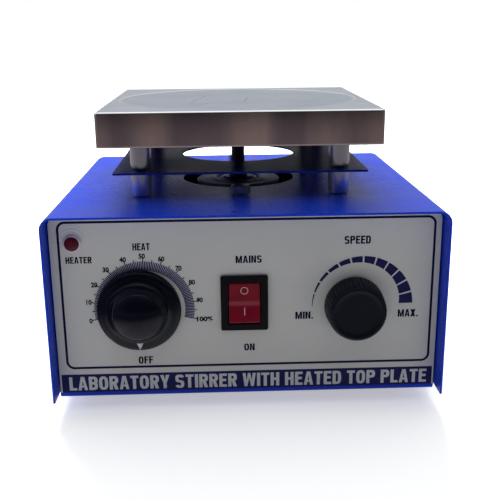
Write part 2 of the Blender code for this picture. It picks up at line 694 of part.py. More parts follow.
# ---------------------------------------------------------------- drive
def make_bracket(finish):
    """Hat-shaped strap under the cover, with a round boss in its middle that carries the motor."""
    under_cover = CASE_TOP - SHEET - GAP
    far = BRACKET_REACH + 0.009
    foot_low = under_cover - BRACKET_THICKNESS
    path = [
        (STACK_Y - far, foot_low),
        (STACK_Y - BRACKET_REACH + 0.010, foot_low),
        (STACK_Y - BRACKET_REACH + 0.014, BRACKET_Z),
        (STACK_Y + BRACKET_REACH - 0.014, BRACKET_Z),
        (STACK_Y + BRACKET_REACH - 0.010, foot_low),
        (STACK_Y + far, foot_low),
    ]
    half = BRACKET_ARM_WIDTH / 2
    outline = folded_sheet(path, BRACKET_THICKNESS, 0.0035, 3)
    bracket = prism_object("motor_bracket", outline, "X", STACK_X - half, STACK_X + half, finish)
    disc = turned_object(
        "bracket_boss", [(BRACKET_RADIUS, -BRACKET_LIP), (BRACKET_RADIUS, BOSS_TOP - BRACKET_Z)],
        (STACK_X, STACK_Y, BRACKET_Z), UP, steps=32,
    )
    boolean(bracket, disc, "UNION")
    drill(bracket, [((STACK_X, STACK_Y, BRACKET_Z), 0.0085, 0.01)], UP, 24)
    drill(bracket, [((STACK_X, STACK_Y, COUPLING_Z + 0.009), COUPLING_RADIUS + 0.0005, 0.01)], UP, 24)
    bolts = bmesh.new()
    for word, y in BRACKET_BOLTS:
        nut = hexagon(0.0100, (STACK_X, y))
        weld = prism_object("bracket_nut_" + word, nut, "Z", foot_low - 0.005, foot_low + GAP)
        boolean(bracket, weld, "UNION")
        add_turned(bolts, [(0.0033, -0.01), (0.0033, 0.01)], (STACK_X, y, foot_low), UP, 12)
    for sx in (-1, 1):
        at = (STACK_X + sx * STUD_OFFSET, STACK_Y, BRACKET_Z)
        add_turned(bolts, [(0.0018, -0.01), (0.0018, 0.01)], at, UP, 12)
    return boolean(bracket, new_object("bracket_bolt_holes", bolts, None))


def make_bracket_bolts(finish):
    """Hexagon heads on top of the cover; the shanks pass through the strap's feet."""
    low = CASE_TOP + GAP
    for word, y in BRACKET_BOLTS:
        name = "bracket_bolt_" + word
        bolt = prism_object(name, hexagon(0.0100, (STACK_X, y)), "Z", low, low + 0.0048, finish)
        shank = [(0.0030, -0.0100), (0.0030, 0.0010)]
        boolean(bolt, turned_object(name + "_shank", shank, (STACK_X, y, low), UP, steps=12), "UNION")


def make_motor(can_finish, shaft_finish):
    top = MOTOR_TOP
    profile = [
        (0, top + 0.0030),
        (0.0080, top + 0.0030),
        (0.0080, top),
        (MOTOR_RADIUS - 0.002, top),
        (MOTOR_RADIUS, top - 0.002),
        (MOTOR_RADIUS, top - MOTOR_HEIGHT + 0.002),
        (MOTOR_RADIUS - 0.002, top - MOTOR_HEIGHT),
        (0.0080, top - MOTOR_HEIGHT),
        (0.0070, top - MOTOR_HEIGHT - 0.004),
        (0, top - MOTOR_HEIGHT - 0.004),
    ]
    at = (STACK_X, STACK_Y, 0)
    motor = turned_object("motor", profile[::-1], at, UP, can_finish, 28)
    studs = bmesh.new()
    for sx in (-1, 1):
        stud = [(0.0015, top - 0.001), (0.0015, BRACKET_Z + BRACKET_THICKNESS + 0.004)]
        add_turned(studs, stud, (STACK_X + sx * STUD_OFFSET, STACK_Y, 0), UP, 10)
    boolean(motor, new_object("motor_studs", studs, None), "UNION")
    bore = [(MOTOR_SHAFT_RADIUS + GAP, top - 0.020), (MOTOR_SHAFT_RADIUS + GAP, top + 0.010)]
    boolean(motor, turned_object("motor_bore", bore, at, UP, steps=16))
    shaft = [(MOTOR_SHAFT_RADIUS, top - 0.0195), (MOTOR_SHAFT_RADIUS, COUPLING_Z + COUPLING_HEIGHT / 2 - GAP)]
    placed = turned_object("motor_shaft", shaft, (0, 0, 0), UP, shaft_finish, 16)
    placed.location = at


def make_drive_line(materials):
    at = (STACK_X, STACK_Y, 0)
    middle, top = COUPLING_Z + COUPLING_HEIGHT / 2, COUPLING_Z + COUPLING_HEIGHT
    narrow, wide, outer = MOTOR_SHAFT_RADIUS + GAP, DRIVE_SHAFT_RADIUS + GAP, COUPLING_RADIUS
    profile = [
        (outer, COUPLING_Z), (outer, COUPLING_SHOULDER), (COUPLING_NECK, COUPLING_SHOULDER), (COUPLING_NECK, top),
        (wide, top), (wide, middle), (narrow, middle), (narrow, COUPLING_Z),
    ]
    coupling = turned_object("shaft_coupling", profile, (0, 0, 0), UP, materials["aluminium"], 20, ring=True)
    coupling.location = at
    shaft = [(DRIVE_SHAFT_RADIUS, middle + GAP), (DRIVE_SHAFT_RADIUS, HOLDER_Z + 0.004)]
    turned_object("drive_shaft", shaft, (0, 0, 0), UP, materials["dark_steel"], 20).location = at

    half = HOLDER_LENGTH / 2
    outline = rounded_rectangle(HOLDER_LENGTH, HOLDER_WIDTH, HOLDER_WIDTH / 2 - 0.0001, (0, 0), 6)
    holder_top = HOLDER_Z + HOLDER_HEIGHT
    holder = prism_object("magnet_holder", outline, "Z", HOLDER_Z, holder_top, materials["aluminium"])
    holder.location = at
    pockets = bmesh.new()
    pocket_low = holder_top - MAGNET_HEIGHT - GAP
    for sx in (-1, 1):
        pocket = [(MAGNET_RADIUS + GAP, pocket_low), (MAGNET_RADIUS + GAP, HOLDER_Z + 0.02)]
        add_turned(pockets, pocket, (STACK_X + sx * MAGNET_OFFSET, STACK_Y, 0), UP, 20)
    socket = [(DRIVE_SHAFT_RADIUS + GAP, HOLDER_Z - 0.01), (DRIVE_SHAFT_RADIUS + GAP, HOLDER_Z + 0.004 + GAP)]
    add_turned(pockets, socket, at, UP, 20)
    boolean(holder, new_object("holder_pockets", pockets, None))
    assert MAGNET_OFFSET + MAGNET_RADIUS + GAP < half
    for word, sx in (("north", 1), ("south", -1)):
        low = pocket_low + GAP
        magnet = [(MAGNET_RADIUS, low), (MAGNET_RADIUS, low + MAGNET_HEIGHT)]
        place = (sx * MAGNET_OFFSET, 0, 0)
        turned_object("drive_magnet_" + word, magnet, place, UP, materials["ferrite"], 20).location = at


# ---------------------------------------------------------------- electrics inside and at the back
BOARD_LOW = (0.0300, -0.0250)
BOARD_SIZE = (0.0600, 0.0800)
BOARD_Z = FOOT_HEIGHT + SHEET + 0.0070


def board_corners():
    centre = (BOARD_LOW[0] + BOARD_SIZE[0] / 2, BOARD_LOW[1] + BOARD_SIZE[1] / 2)
    return list(corners_of(BOARD_SIZE[0] - 0.010, BOARD_SIZE[1] - 0.010, centre))


def make_board(finish, sink_finish):
    """Speed control board on four stuck-down supports, with the triac's heatsink standing on it."""
    x, y = BOARD_LOW
    top = BOARD_Z + 0.0016
    far = (x + BOARD_SIZE[0], y + BOARD_SIZE[1], top)
    board = box_object("speed_control_board", (x, y, BOARD_Z), far, finish)
    parts = (
        ((0.010, 0.014), (0.012, 0.018), 0.014),
        ((0.032, 0.016), (0.018, 0.012), 0.010),
        ((0.012, 0.045), (0.009, 0.009), 0.016),
    )
    for i, (at, size, height) in enumerate(parts):
        low = (x + at[0], y + at[1], top - 0.001)
        high = (x + at[0] + size[0], y + at[1] + size[1], top + height)
        boolean(board, box_object(f"board_part_{i}", low, high), "UNION")
    floor = FOOT_HEIGHT + SHEET + GAP
    under = BOARD_Z + 0.0005
    support = [(0.0050, floor), (0.0050, floor + 0.0010), (0.0028, floor + 0.0018), (0.0028, under)]
    support += [(0.0020, under), (0.0020, top + 0.0012), (0.0012, top + 0.0022)]
    supports = bmesh.new()
    for _, px, py in board_corners():
        add_turned(supports, support, (px, py, 0), UP, 12)
    boolean(board, new_object("board_supports", supports, None), "UNION")
    fins = [(0, 0), (0.026, 0), (0.026, 0.0025)]
    for i in reversed(range(3)):
        fins += [(0.0045 + 0.0095 * i, 0.0025), (0.0045 + 0.0095 * i, 0.014), (0.0025 + 0.0095 * i, 0.014)]
        fins += [(0.0025 + 0.0095 * i, 0.0025)]
    fins.append((0, 0.0025))
    sink = [(x + 0.028 + u, y + 0.048 + v) for u, v in fins]
    prism_object("triac_heatsink", sink, "Z", top + GAP, top + 0.030, sink_finish)


def make_terminal_block(finish):
    x, y = -0.0700, 0.0150
    low = FOOT_HEIGHT + SHEET + GAP
    block = box_object("terminal_block", (x, y, low), (x + 0.016, y + 0.040, low + 0.014), finish)
    for i in range(2):
        at = y + 0.0125 + 0.0130 * i
        slot = ((x - 0.001, at, low + 0.006), (x + 0.017, at + 0.002, low + 0.020))
        boolean(block, box_object(f"terminal_slot_{i}", *slot))
    return block


def make_inlet(finish, screw_finish):
    """Three-pin appliance inlet: a flange outside the back panel and a socket that opens backwards."""
    x, z = INLET_AT
    outer = BACK_Y + GAP
    flange = rounded_rectangle(0.0500, 0.0280, 0.0060, INLET_AT, 4)
    inlet = prism_object("mains_inlet", flange, "Y", outer, outer + 0.0030, finish)
    body = rounded_rectangle(0.0275, 0.0200, 0.0018, INLET_AT, 2)
    boolean(inlet, prism_object("inlet_body", body, "Y", BACK_Y - 0.0200, outer + 0.0020), "UNION")
    socket = rounded_rectangle(0.0240, 0.0164, 0.0020, INLET_AT, 2)
    boolean(inlet, prism_object("inlet_socket", socket, "Y", BACK_Y - 0.0160, outer + 0.0100))
    for i, (dx, dz) in enumerate(((-0.0070, -0.0015), (0, 0.0025), (0.0070, -0.0015))):
        low = (x + dx - 0.0010, BACK_Y - 0.0260, z + dz - 0.0020)
        high = (x + dx + 0.0010, BACK_Y - 0.0020, z + dz + 0.0020)
        boolean(inlet, box_object(f"inlet_pin_{i}", low, high), "UNION")
    profile = [(0, 0.0016), (0.0020, 0.0014), (0.0031, 0.0005), (0.0031, 0)]
    profile += [(0.0015, 0), (0.0015, -0.0100), (0, -0.0100)]
    holes = []
    for word, sx in (("left", -1), ("right", 1)):
        spot = x + sx * INLET_SCREW_PITCH / 2
        holes.append(((spot, outer, z), 0.0019, 0.006))
        place = (spot, outer + 0.0030 + GAP, z)
        turned_object("inlet_screw_" + word, profile, place, -FORWARD, screw_finish, 16)
    drill(inlet, holes, FORWARD, 12)


def make_fuse_holder(finish):
    profile = [
        (0, 0.0065), (0.0062, 0.0065), (0.0068, 0.0055), (0.0070, 0.0024), (0.0085, 0.0022), (0.0085, GAP),
        (0.0060, GAP), (0.0060, -0.0240), (0.0030, -0.0260), (0.0030, -0.0330), (0, -0.0330),
    ]
    return turned_object("fuse_holder", profile, on_panel(FUSE_AT, BACK_Y), -FORWARD, finish, 18)


def smooth_route(route, spacing):
    """Points along a Catmull-Rom curve through the route, about the given spacing apart."""
    ends = [2 * route[0] - route[1], *route, 2 * route[-1] - route[-2]]
    points = []
    for p0, p1, p2, p3 in zip(ends, ends[1:], ends[2:], ends[3:]):
        count = max(1, round((p2 - p1).length / spacing))
        for i in range(count):
            t = i / count
            blend = 2 * p1 + (p2 - p0) * t
            blend += (2 * p0 - 5 * p1 + 4 * p2 - p3) * t**2 + (3 * p1 - p0 - 3 * p2 + p3) * t**3
            points.append(blend / 2)
    return [*points, route[-1]]


def lead(name, route, radius, finish):
    curve = bpy.data.curves.new(name, "CURVE")
    curve.dimensions = "3D"
    curve.bevel_depth = radius
    curve.bevel_resolution = 2
    curve.use_fill_caps = True
    points = smooth_route([Vector(p) for p in route], 5 * radius)
    spline = curve.splines.new("POLY")
    spline.points.add(len(points) - 1)
    for target, point in zip(spline.points, points):
        target.co = (*point, 1)
    curve.materials.append(finish)
    obj = bpy.data.objects.new(name, curve)
    bpy.context.scene.collection.objects.link(obj)


def make_leads(materials):
    """The heater's sleeved lead, whole, and the motor's, each from end to end inside the object."""
    x, y = LEAD_AT
    heater_route = (
        (-0.0620, 0.0580, 0.0180),
        (-0.0350, 0.0680, 0.0180),
        (0.0000, 0.0700, 0.0240),
        (x - 0.0060, y + 0.0060, 0.0500),
        (x, y, 0.0850),
        (x, y, 0.1130),
        (x, y, 0.1300),
        (x, y, BACKING_Z + BACKING_THICKNESS - 0.0002),
    )
    lead("heater_lead", heater_route, 0.0029, materials["sleeving"])
    groove, under = GROMMET_RADIUS - GAP, -SHEET - GAP
    bore, lip, low, high = 0.0032, 0.0070, under - 0.0014, 0.0020
    profile = [(bore, high), (lip - 0.0006, high), (lip, 0.0008), (lip, GAP), (groove, GAP)]
    profile += [(groove, under), (lip, under), (lip - 0.0004, low), (bore, low)]
    turned_object("lead_grommet", profile, (x, y, CASE_TOP), UP, materials["rubber"], 16, ring=True)
    motor_low = MOTOR_TOP - MOTOR_HEIGHT
    motor_route = (
        (STACK_X + 0.0150, STACK_Y, motor_low - 0.0006),
        (STACK_X + 0.0160, STACK_Y, motor_low - 0.0070),
        (STACK_X + 0.0230, STACK_Y, motor_low - 0.0130),
        (0.0360, 0.0080, 0.0250),
        (0.0360, 0.0080, BOARD_Z + 0.0016 + GAP),
    )
    lead("motor_lead", motor_route, 0.0015, materials["black_plastic"])


# ---------------------------------------------------------------- assembly
def main():
    for old in list(bpy.data.objects):
        bpy.data.objects.remove(old)
    materials = make_materials()
    make_cover(materials["blue_enamel"])
    make_chassis(materials["blue_enamel"])
    make_facia(materials["facia_print"])
    make_feet(materials["rubber"])
    make_cover_screws(materials["plated_steel"])
    make_hot_plate(materials["stainless"])
    make_heater(materials)
    make_shield(materials["blue_enamel"])
    make_pillars(materials["stainless"], materials["plated_steel"])
    make_heat_knob(materials["black_bakelite"])
    make_speed_knob(materials["black_plastic"])
    make_heat_regulator(materials)
    make_speed_potentiometer(materials)
    make_switch(materials["black_plastic"], materials["red_plastic"])
    make_lamp(materials["plated_steel"], materials["lamp_red"])
    make_bracket(materials["dark_steel"])
    make_bracket_bolts(materials["plated_steel"])
    make_motor(materials["plated_steel"], materials["plated_steel"])
    make_drive_line(materials)
    make_board(materials["board_green"], materials["aluminium"])
    make_terminal_block(materials["porcelain"])
    make_inlet(materials["black_plastic"], materials["plated_steel"])
    make_fuse_holder(materials["black_plastic"])
    make_leads(materials)


main()
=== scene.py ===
"""Looks of the magnetic stirrer with hot plate: fine pieces, printed graphics and materials.

Metres, +Z up, front towards -Y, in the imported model's own frame.
"""

import math

import bmesh
import bpy
from mathutils import Matrix, Vector


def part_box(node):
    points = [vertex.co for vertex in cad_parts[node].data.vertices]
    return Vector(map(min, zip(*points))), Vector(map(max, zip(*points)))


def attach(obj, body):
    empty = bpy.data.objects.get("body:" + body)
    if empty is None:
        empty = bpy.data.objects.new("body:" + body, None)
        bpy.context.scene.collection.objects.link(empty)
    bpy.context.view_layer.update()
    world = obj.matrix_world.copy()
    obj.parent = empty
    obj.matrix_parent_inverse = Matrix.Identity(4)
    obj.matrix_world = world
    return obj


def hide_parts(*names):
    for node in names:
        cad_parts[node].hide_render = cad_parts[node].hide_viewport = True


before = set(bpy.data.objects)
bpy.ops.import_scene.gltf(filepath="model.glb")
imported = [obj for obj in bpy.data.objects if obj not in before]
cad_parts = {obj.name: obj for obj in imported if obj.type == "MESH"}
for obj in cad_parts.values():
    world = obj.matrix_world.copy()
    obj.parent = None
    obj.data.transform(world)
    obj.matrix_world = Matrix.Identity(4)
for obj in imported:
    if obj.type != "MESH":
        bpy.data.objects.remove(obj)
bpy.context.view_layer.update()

MM = 0.001
GAP = 0.0003
UP, FORWARD, RIGHT = Vector((0, 0, 1)), Vector((0, -1, 0)), Vector((1, 0, 0))


# ---------------------------------------------------------------- sizes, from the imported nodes
def node_low(name):
    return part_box(name)[0]


def node_high(name):
    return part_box(name)[1]


def node_middle(name):
    low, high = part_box(name)
    return (low + high) / 2


def on_panel(name, y):
    """The node's middle in x and z, on the panel whose outer face is at y."""
    middle = node_middle(name)
    return Vector((middle.x, y, middle.z))


COVER_LOW, COVER_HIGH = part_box("cover")
CHASSIS_LOW, CHASSIS_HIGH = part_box("chassis")
FACIA_LOW, FACIA_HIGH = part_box("facia_plate")
PLATE_LOW, PLATE_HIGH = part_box("hot_plate")
SHIELD_LOW, SHIELD_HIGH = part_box("heat_shield")
PANEL_Y = FACIA_LOW.y  # the facia's front face
BACK_Y = CHASSIS_HIGH.y  # the back panel's outer face
STACK = node_middle("hot_plate").xy.to_3d()
COUPLING_RADIUS = (node_high("shaft_coupling").x - node_low("shaft_coupling").x) / 2
CASE_TOP = COVER_HIGH.z
HEAT = on_panel("heat_knob", PANEL_Y)
SPEED = on_panel("speed_knob", PANEL_Y)
SWITCH = on_panel("switch_housing", PANEL_Y)
LAMP = on_panel("lamp_lens", PANEL_Y)
FUSE = on_panel("fuse_holder", BACK_Y)
INLET = on_panel("mains_inlet", BACK_Y)
LEAD = Vector((node_middle("lead_grommet").x, node_middle("lead_grommet").y, CASE_TOP))
CORNER_WORDS = ("front_left", "front_right", "rear_left", "rear_right")
PILLARS = {word: node_middle("upper_spacer_" + word).xy.to_3d() for word in CORNER_WORDS}

SHEET = 0.0012
COVER_BEND = 0.0065
CHASSIS_BEND = 0.0025
PANEL_CORNER = 0.0056
FLANGE = 0.0100
SIDE_FLANGE_TOP = 0.0200
CASE_HOLE_RADIUS = 0.0350
GROMMET_RADIUS = 0.0052
BEZEL_WIDTH, BEZEL_HEIGHT, BEZEL_THICKNESS = 0.0255, 0.0310, 0.0020
ROCKER_WIDTH, ROCKER_RADIUS, ROCKER_CREASE = 0.0168, 0.0114, 0.0022
RECESS_RADIUS, RECESS_DEPTH, RECESS_SLOPE = 0.0730, 0.00028, 0.0009  # pressed round the plate's top
# x, y, direction in degrees, length
SCRATCHES = ((-0.0260, 0.010, 80, 0.060), (-0.0225, -0.022, 66, 0.034), (0.0030, 0.004, 84, 0.030))
ROCKER_TILT = math.radians(13)
ROCKER_PIVOT_Y = PANEL_Y + 0.0005


# ---------------------------------------------------------------- node trees
def add_node(tree, kind, inputs=(), **settings):
    """Adds a shader node. An input is a socket to link or a value to set."""
    made = tree.nodes.new("ShaderNode" + kind)
    for key, value in settings.items():
        setattr(made, key, value)
    for key, value in dict(inputs).items():
        if isinstance(value, bpy.types.NodeSocket):
            tree.links.new(value, made.inputs[key])
        else:
            made.inputs[key].default_value = value
    return made


class Finish:
    """A Principled material built from procedural nodes in the piece's own coordinates."""

    def __init__(self, name, sockets=()):
        self.material = bpy.data.materials.new(name)
        self.material.use_nodes = True
        self.tree = self.material.node_tree
        self.shader = self.tree.nodes["Principled BSDF"]
        self.place = self.add("TexCoord").outputs["Object"]
        self.relief = None
        for socket, value in dict(sockets).items():
            self.feed(socket, value)

    def add(self, kind, inputs=(), **settings):
        return add_node(self.tree, kind, inputs, **settings)

    def feed(self, socket, value):
        if isinstance(value, bpy.types.NodeSocket):
            self.tree.links.new(value, self.shader.inputs[socket])
        elif isinstance(value, tuple) and len(value) == 3:
            self.shader.inputs[socket].default_value = (*value, 1)
        else:
            self.shader.inputs[socket].default_value = value

    def sum(self, kind, a, b=0.0):
        return self.add("Math", {0: a, 1: b}, operation=kind).outputs[0]

    def times(self, a, b):
        return self.sum("MULTIPLY", a, b)

    def distance(self, spot, vector=None):
        """How far the surface lies from a point."""
        start = self.place if vector is None else vector
        offset = self.add("VectorMath", {0: start, 1: tuple(spot)}, operation="SUBTRACT")
        return self.add("VectorMath", {0: offset.outputs[0]}, operation="LENGTH").outputs["Value"]

    def stretched(self, size, stretch=(1, 1, 1)):
        """The piece's coordinates in units of size metres, drawn out along each axis by stretch."""
        scale = [1 / (size * s) for s in stretch]
        return self.add("Mapping", {"Vector": self.place, "Scale": scale}).outputs[0]

    def noise(self, size, detail=2.0, stretch=(1, 1, 1), rough=0.55):
        inputs = {"Vector": self.stretched(size, stretch), "Scale": 1.0, "Detail": detail}
        return self.add("TexNoise", {**inputs, "Roughness": rough}).outputs["Fac"]

    def cells(self, size, feature="F1"):
        inputs = {"Vector": self.stretched(size), "Scale": 1.0}
        return self.add("TexVoronoi", inputs, feature=feature).outputs["Distance"]

    def remap(self, value, low, high, to_low=0.0, to_high=1.0):
        inputs = {"Value": value, "From Min": low, "From Max": high, "To Min": to_low, "To Max": to_high}
        return self.add("MapRange", inputs, clamp=True).outputs[0]

    def mix(self, factor, first, second):
        inputs = {0: factor}
        for index, colour in ((6, first), (7, second)):
            inputs[index] = (*colour, 1) if isinstance(colour, tuple) else colour
        return self.add("Mix", inputs, data_type="RGBA").outputs[2]

    def bump(self, height, depth, strength=1.0):
        """Adds relief of about depth metres to what is there."""
        inputs = {"Height": height, "Distance": depth, "Strength": strength}
        if self.relief is not None:
            inputs["Normal"] = self.relief
        self.relief = self.add("Bump", inputs).outputs[0]
        self.feed("Normal", self.relief)

    def axis(self, letter):
        return self.add("SeparateXYZ", {0: self.place}).outputs["XYZ".index(letter)]


def scaled(colour, factor):
    return tuple(c * factor for c in colour)


def plain_finish(name, colour, rough, metallic=0.0, vary=0.10, grain=0.0008, depth=0.00002, specular=0.5):
    """Colour, gloss and relief that vary a little at two sizes, for moulded, plated and painted parts."""
    made = Finish(name, {"Metallic": metallic, "Specular IOR Level": specular})
    broad, fine = made.noise(0.018, 3), made.noise(grain, 3)
    blend = made.sum("ADD", made.times(broad, 0.6), made.times(fine, 0.4))
    blend = made.remap(blend, 0.3, 0.7)
    made.feed("Base Color", made.mix(blend, scaled(colour, 1 - vary), scaled(colour, 1 + vary)))
    made.feed("Roughness", made.remap(broad, 0.3, 0.7, rough * 0.88, min(1.0, rough * 1.12)))
    made.bump(fine, depth)
    return made.material


def enamel_finish(name, colour, gloss=0.07, coat=0.02, flecks_and_glints=1.0):
    """Stoved powder coat: orange peel, a slightly uneven colour, and fine bright specks, partly flecks in the
    coat and partly painted glints, thickest on the top face round the plate stack.
    """
    made = Finish(name, {"Coat Weight": coat, "Coat Roughness": 0.12, "Specular IOR Level": gloss})
    broad, peel, fine = made.noise(0.045, 2), made.noise(0.0013, 2), made.noise(0.0005, 2)
    tone = made.remap(broad, 0.3, 0.7)
    body = made.mix(tone, scaled(colour, 0.88), scaled(colour, 1.08))
    fleck = made.noise(0.0011, 1)
    patch = made.remap(made.noise(0.016, 2), 0.40, 0.60, 0.10, 1.0)
    # painted glints: the bright specks are made thickest near the plate stack and on the top face
    glint_zone_near_stack = made.remap(made.distance((STACK.x, STACK.y, CASE_TOP)), 0.070, 0.110, 1.0, 0.10)
    on_top = made.remap(made.axis("Z"), CASE_TOP - 0.003, CASE_TOP - 0.001, 0.08, 1.0)
    fleck_and_glint = made.times(made.remap(fleck, 0.54, 0.60), made.times(patch, glint_zone_near_stack))
    fleck_and_glint = made.times(fleck_and_glint, made.times(on_top, flecks_and_glints))
    # colour of the specks: partly real flecks, partly painted glints
    bright = tuple(min(1.0, 0.9 * c + 0.22) for c in colour)
    body = made.mix(made.remap(fleck, 0.30, 0.42, 0.45, 0.0), body, scaled(colour, 0.30))
    made.feed("Base Color", made.mix(made.times(fleck_and_glint, 0.45), body, bright))
    made.feed("Metallic", made.times(fleck_and_glint, 0.35))
    made.feed("Roughness", made.remap(broad, 0.3, 0.7, 0.27, 0.35))
    made.bump(peel, 0.00022)
    made.bump(fine, 0.00006)
    return made.material


def brushed_finish(name, dark, bright, rough, along):
    """Metal with fine lines along one axis, soft tonal bands and a few smears."""
    made = Finish(name, {"Metallic": 1.0})
    lines = made.noise(0.00028, 3, along, 0.6)
    smear = made.noise(0.022, 3)
    tone = made.sum("ADD", made.times(lines, 0.45), made.times(smear, 0.55))
    made.feed("Base Color", made.mix(made.remap(tone, 0.32, 0.68), dark, bright))
    made.feed("Roughness", made.remap(tone, 0.3, 0.7, rough * 0.8, rough * 1.2))
    made.bump(lines, 0.000012)
    return made


def plate_top_finish():
    """Stainless top of the hot plate: cross-brushed lines, wiped smears, a painted highlight on the pressed
    ring, strongest at the back, and scratches.
    """
    made = brushed_finish("stainless_top", (0.46, 0.495, 0.56), (0.60, 0.635, 0.70), 0.34, (60, 1, 1))
    cloud = made.noise(0.030, 4, (1.6, 1, 1), 0.65)
    made.feed("Roughness", made.remap(cloud, 0.35, 0.65, 0.26, 0.44))
    colour = made.shader.inputs["Base Color"].links[0].from_socket
    flat = made.add("VectorMath", {0: made.place, 1: (1, 1, 0)}, operation="MULTIPLY").outputs[0]
    reach = made.distance((STACK.x, STACK.y, 0), flat)
    inside = made.remap(reach, RECESS_RADIUS - 0.004, RECESS_RADIUS, 1.0, 0.0)
    colour = made.mix(made.times(inside, 0.5), colour, (0.37, 0.415, 0.50))
    # painted highlight: the pressed ring is coloured near white, more strongly towards the back
    off_ring = made.sum("ABSOLUTE", made.sum("SUBTRACT", reach, RECESS_RADIUS - RECESS_SLOPE * 0.5))
    ring = made.remap(off_ring, RECESS_SLOPE * 0.5, RECESS_SLOPE * 0.9, 1.0, 0.0)
    far_side_highlight = made.remap(made.axis("Y"), -0.02, 0.07, 0.15, 0.95)
    colour = made.mix(made.times(ring, far_side_highlight), colour, (0.92, 0.93, 0.95))
    marks = 0.0
    wander = 0.0016
    for x, y, turn, length in SCRATCHES:
        offset = made.add("VectorMath", {0: flat, 1: (x, y, 0)}, operation="SUBTRACT").outputs[0]
        rotation = {"Vector": offset, "Angle": -math.radians(turn)}
        turned_to = made.add("VectorRotate", rotation, rotation_type="Z_AXIS").outputs[0]
        parts = made.add("SeparateXYZ", {0: turned_to}).outputs
        bent = made.sum("ADD", parts[1], made.times(made.noise(0.006, 2), wander))
        off_line = made.sum("ABSOLUTE", made.sum("SUBTRACT", bent, wander / 2))
        across = made.remap(off_line, 0.0001, 0.0004, 1.0, 0.0)
        along = made.remap(made.sum("ABSOLUTE", parts[0]), length * 0.35, length * 0.5, 1.0, 0.0)
        marks = made.sum("MAXIMUM", marks, made.times(across, along))
    made.feed("Base Color", made.mix(made.times(marks, 0.9), colour, (0.10, 0.11, 0.14)))
    made.bump(marks, -0.00003, 0.6)
    return made.material


def plate_skirt_finish():
    """The folded skirt: fine upright lines, broad soft bands, some warmer than others, and a painted
    highlight along the lower rim.
    """
    made = brushed_finish("stainless_skirt", (0.50, 0.43, 0.44), (0.74, 0.64, 0.64), 0.17, (1, 1, 40))
    bands = made.noise(0.036, 2, (1, 1, 30), 0.5)
    colour = made.shader.inputs["Base Color"].links[0].from_socket
    warm = made.mix(made.remap(bands, 0.40, 0.60), (0.48, 0.47, 0.54), (1.0, 0.91, 0.87))
    colour = made.add("Mix", {0: 1.0, 6: colour, 7: warm}, data_type="RGBA", blend_type="MULTIPLY").outputs[2]
    # painted highlight: the bottom of the skirt is coloured paler
    rim = made.remap(made.axis("Z"), PLATE_LOW.z + 0.0006, PLATE_LOW.z + 0.0010, 1.0, 0.0)
    made.feed("Base Color", made.mix(made.times(rim, 0.7), colour, (0.95, 0.90, 0.92)))
    return made.material


def facia_finish():
    """Grey printed panel: a fine even grain, faint handling marks, rub rings round the lamp, and painted
    shade that makes it darker towards the top.
    """
    made = Finish("facia_grey", {"Specular IOR Level": 0.25})
    grey, dark, cool = (0.500, 0.495, 0.488), (0.560, 0.552, 0.545), (0.350, 0.350, 0.490)
    # painted shade: the grey is made darker towards the top of the panel and paler towards the bottom
    height = made.remap(made.axis("Z"), FACIA_LOW.z, FACIA_HIGH.z)
    cloud = made.remap(made.noise(0.050, 3), 0.3, 0.7)
    tone = made.mix(made.times(height, 0.9), dark, grey)
    tone = made.mix(made.times(cloud, 0.25), tone, (0.560, 0.553, 0.544))
    reach = made.distance(LAMP)
    rings = made.sum("SINE", made.times(reach, 2 * math.pi / (1.9 * MM)))
    rings = made.remap(rings, -0.2, 0.9)
    near = made.remap(reach, 0.0075, 0.0115, 1.0, 0.0)
    above = made.remap(made.sum("SUBTRACT", made.axis("Z"), LAMP.z), 0.001, 0.007)
    mark = made.times(made.times(rings, near), above)
    made.feed("Base Color", made.mix(made.times(mark, 0.75), tone, cool))
    made.feed("Roughness", made.remap(cloud, 0.0, 1.0, 0.40, 0.52))
    made.bump(made.noise(0.0005, 2), 0.000015)
    return made.material


def ink_finish(name, colour):
    """Screen-printed ink: nearly flat, with thin spots where the screen let less through."""
    made = Finish(name, {"Specular IOR Level": 0.05})
    thin = made.remap(made.noise(0.0012, 3), 0.35, 0.75)
    light = tuple(c * 1.2 + 0.001 for c in colour)
    made.feed("Base Color", made.mix(thin, colour, light))
    made.feed("Roughness", made.remap(thin, 0.0, 1.0, 0.38, 0.50))
    made.bump(thin, 0.000004)
    return made.material


def bakelite_finish():
    """Glossy black moulding with swirl marks and settled dust."""
    gloss = {"Coat Weight": 0.12, "Coat Roughness": 0.06, "Specular IOR Level": 0.10}
    made = Finish("black_bakelite_gloss", gloss)
    swirl, dust = made.noise(0.012, 3), made.noise(0.0007, 2)
    specks = made.times(made.remap(dust, 0.66, 0.74), made.remap(made.noise(0.010, 2), 0.45, 0.7))
    made.feed("Base Color", made.mix(made.times(specks, 0.25), (0.0014, 0.0024, 0.0080), (0.02, 0.02, 0.03)))
    made.feed("Roughness", made.remap(swirl, 0.3, 0.7, 0.16, 0.28))
    made.bump(made.noise(0.004, 2), 0.00003)
    return made.material


def lens_finish():
    """Deep red lamp lens, moulded with small pyramids behind its face."""
    made = Finish("lamp_red_lens", {"Specular IOR Level": 0.20, "Coat Weight": 0.05, "Coat Roughness": 0.08})
    cells = made.remap(made.cells(0.0009), 0.0, 0.7)
    made.feed("Base Color", made.mix(cells, (0.095, 0.003, 0.018), (0.070, 0.002, 0.012)))
    made.feed("Roughness", made.remap(cells, 0.0, 1.0, 0.22, 0.32))
    made.bump(cells, 0.00003)
    return made.material


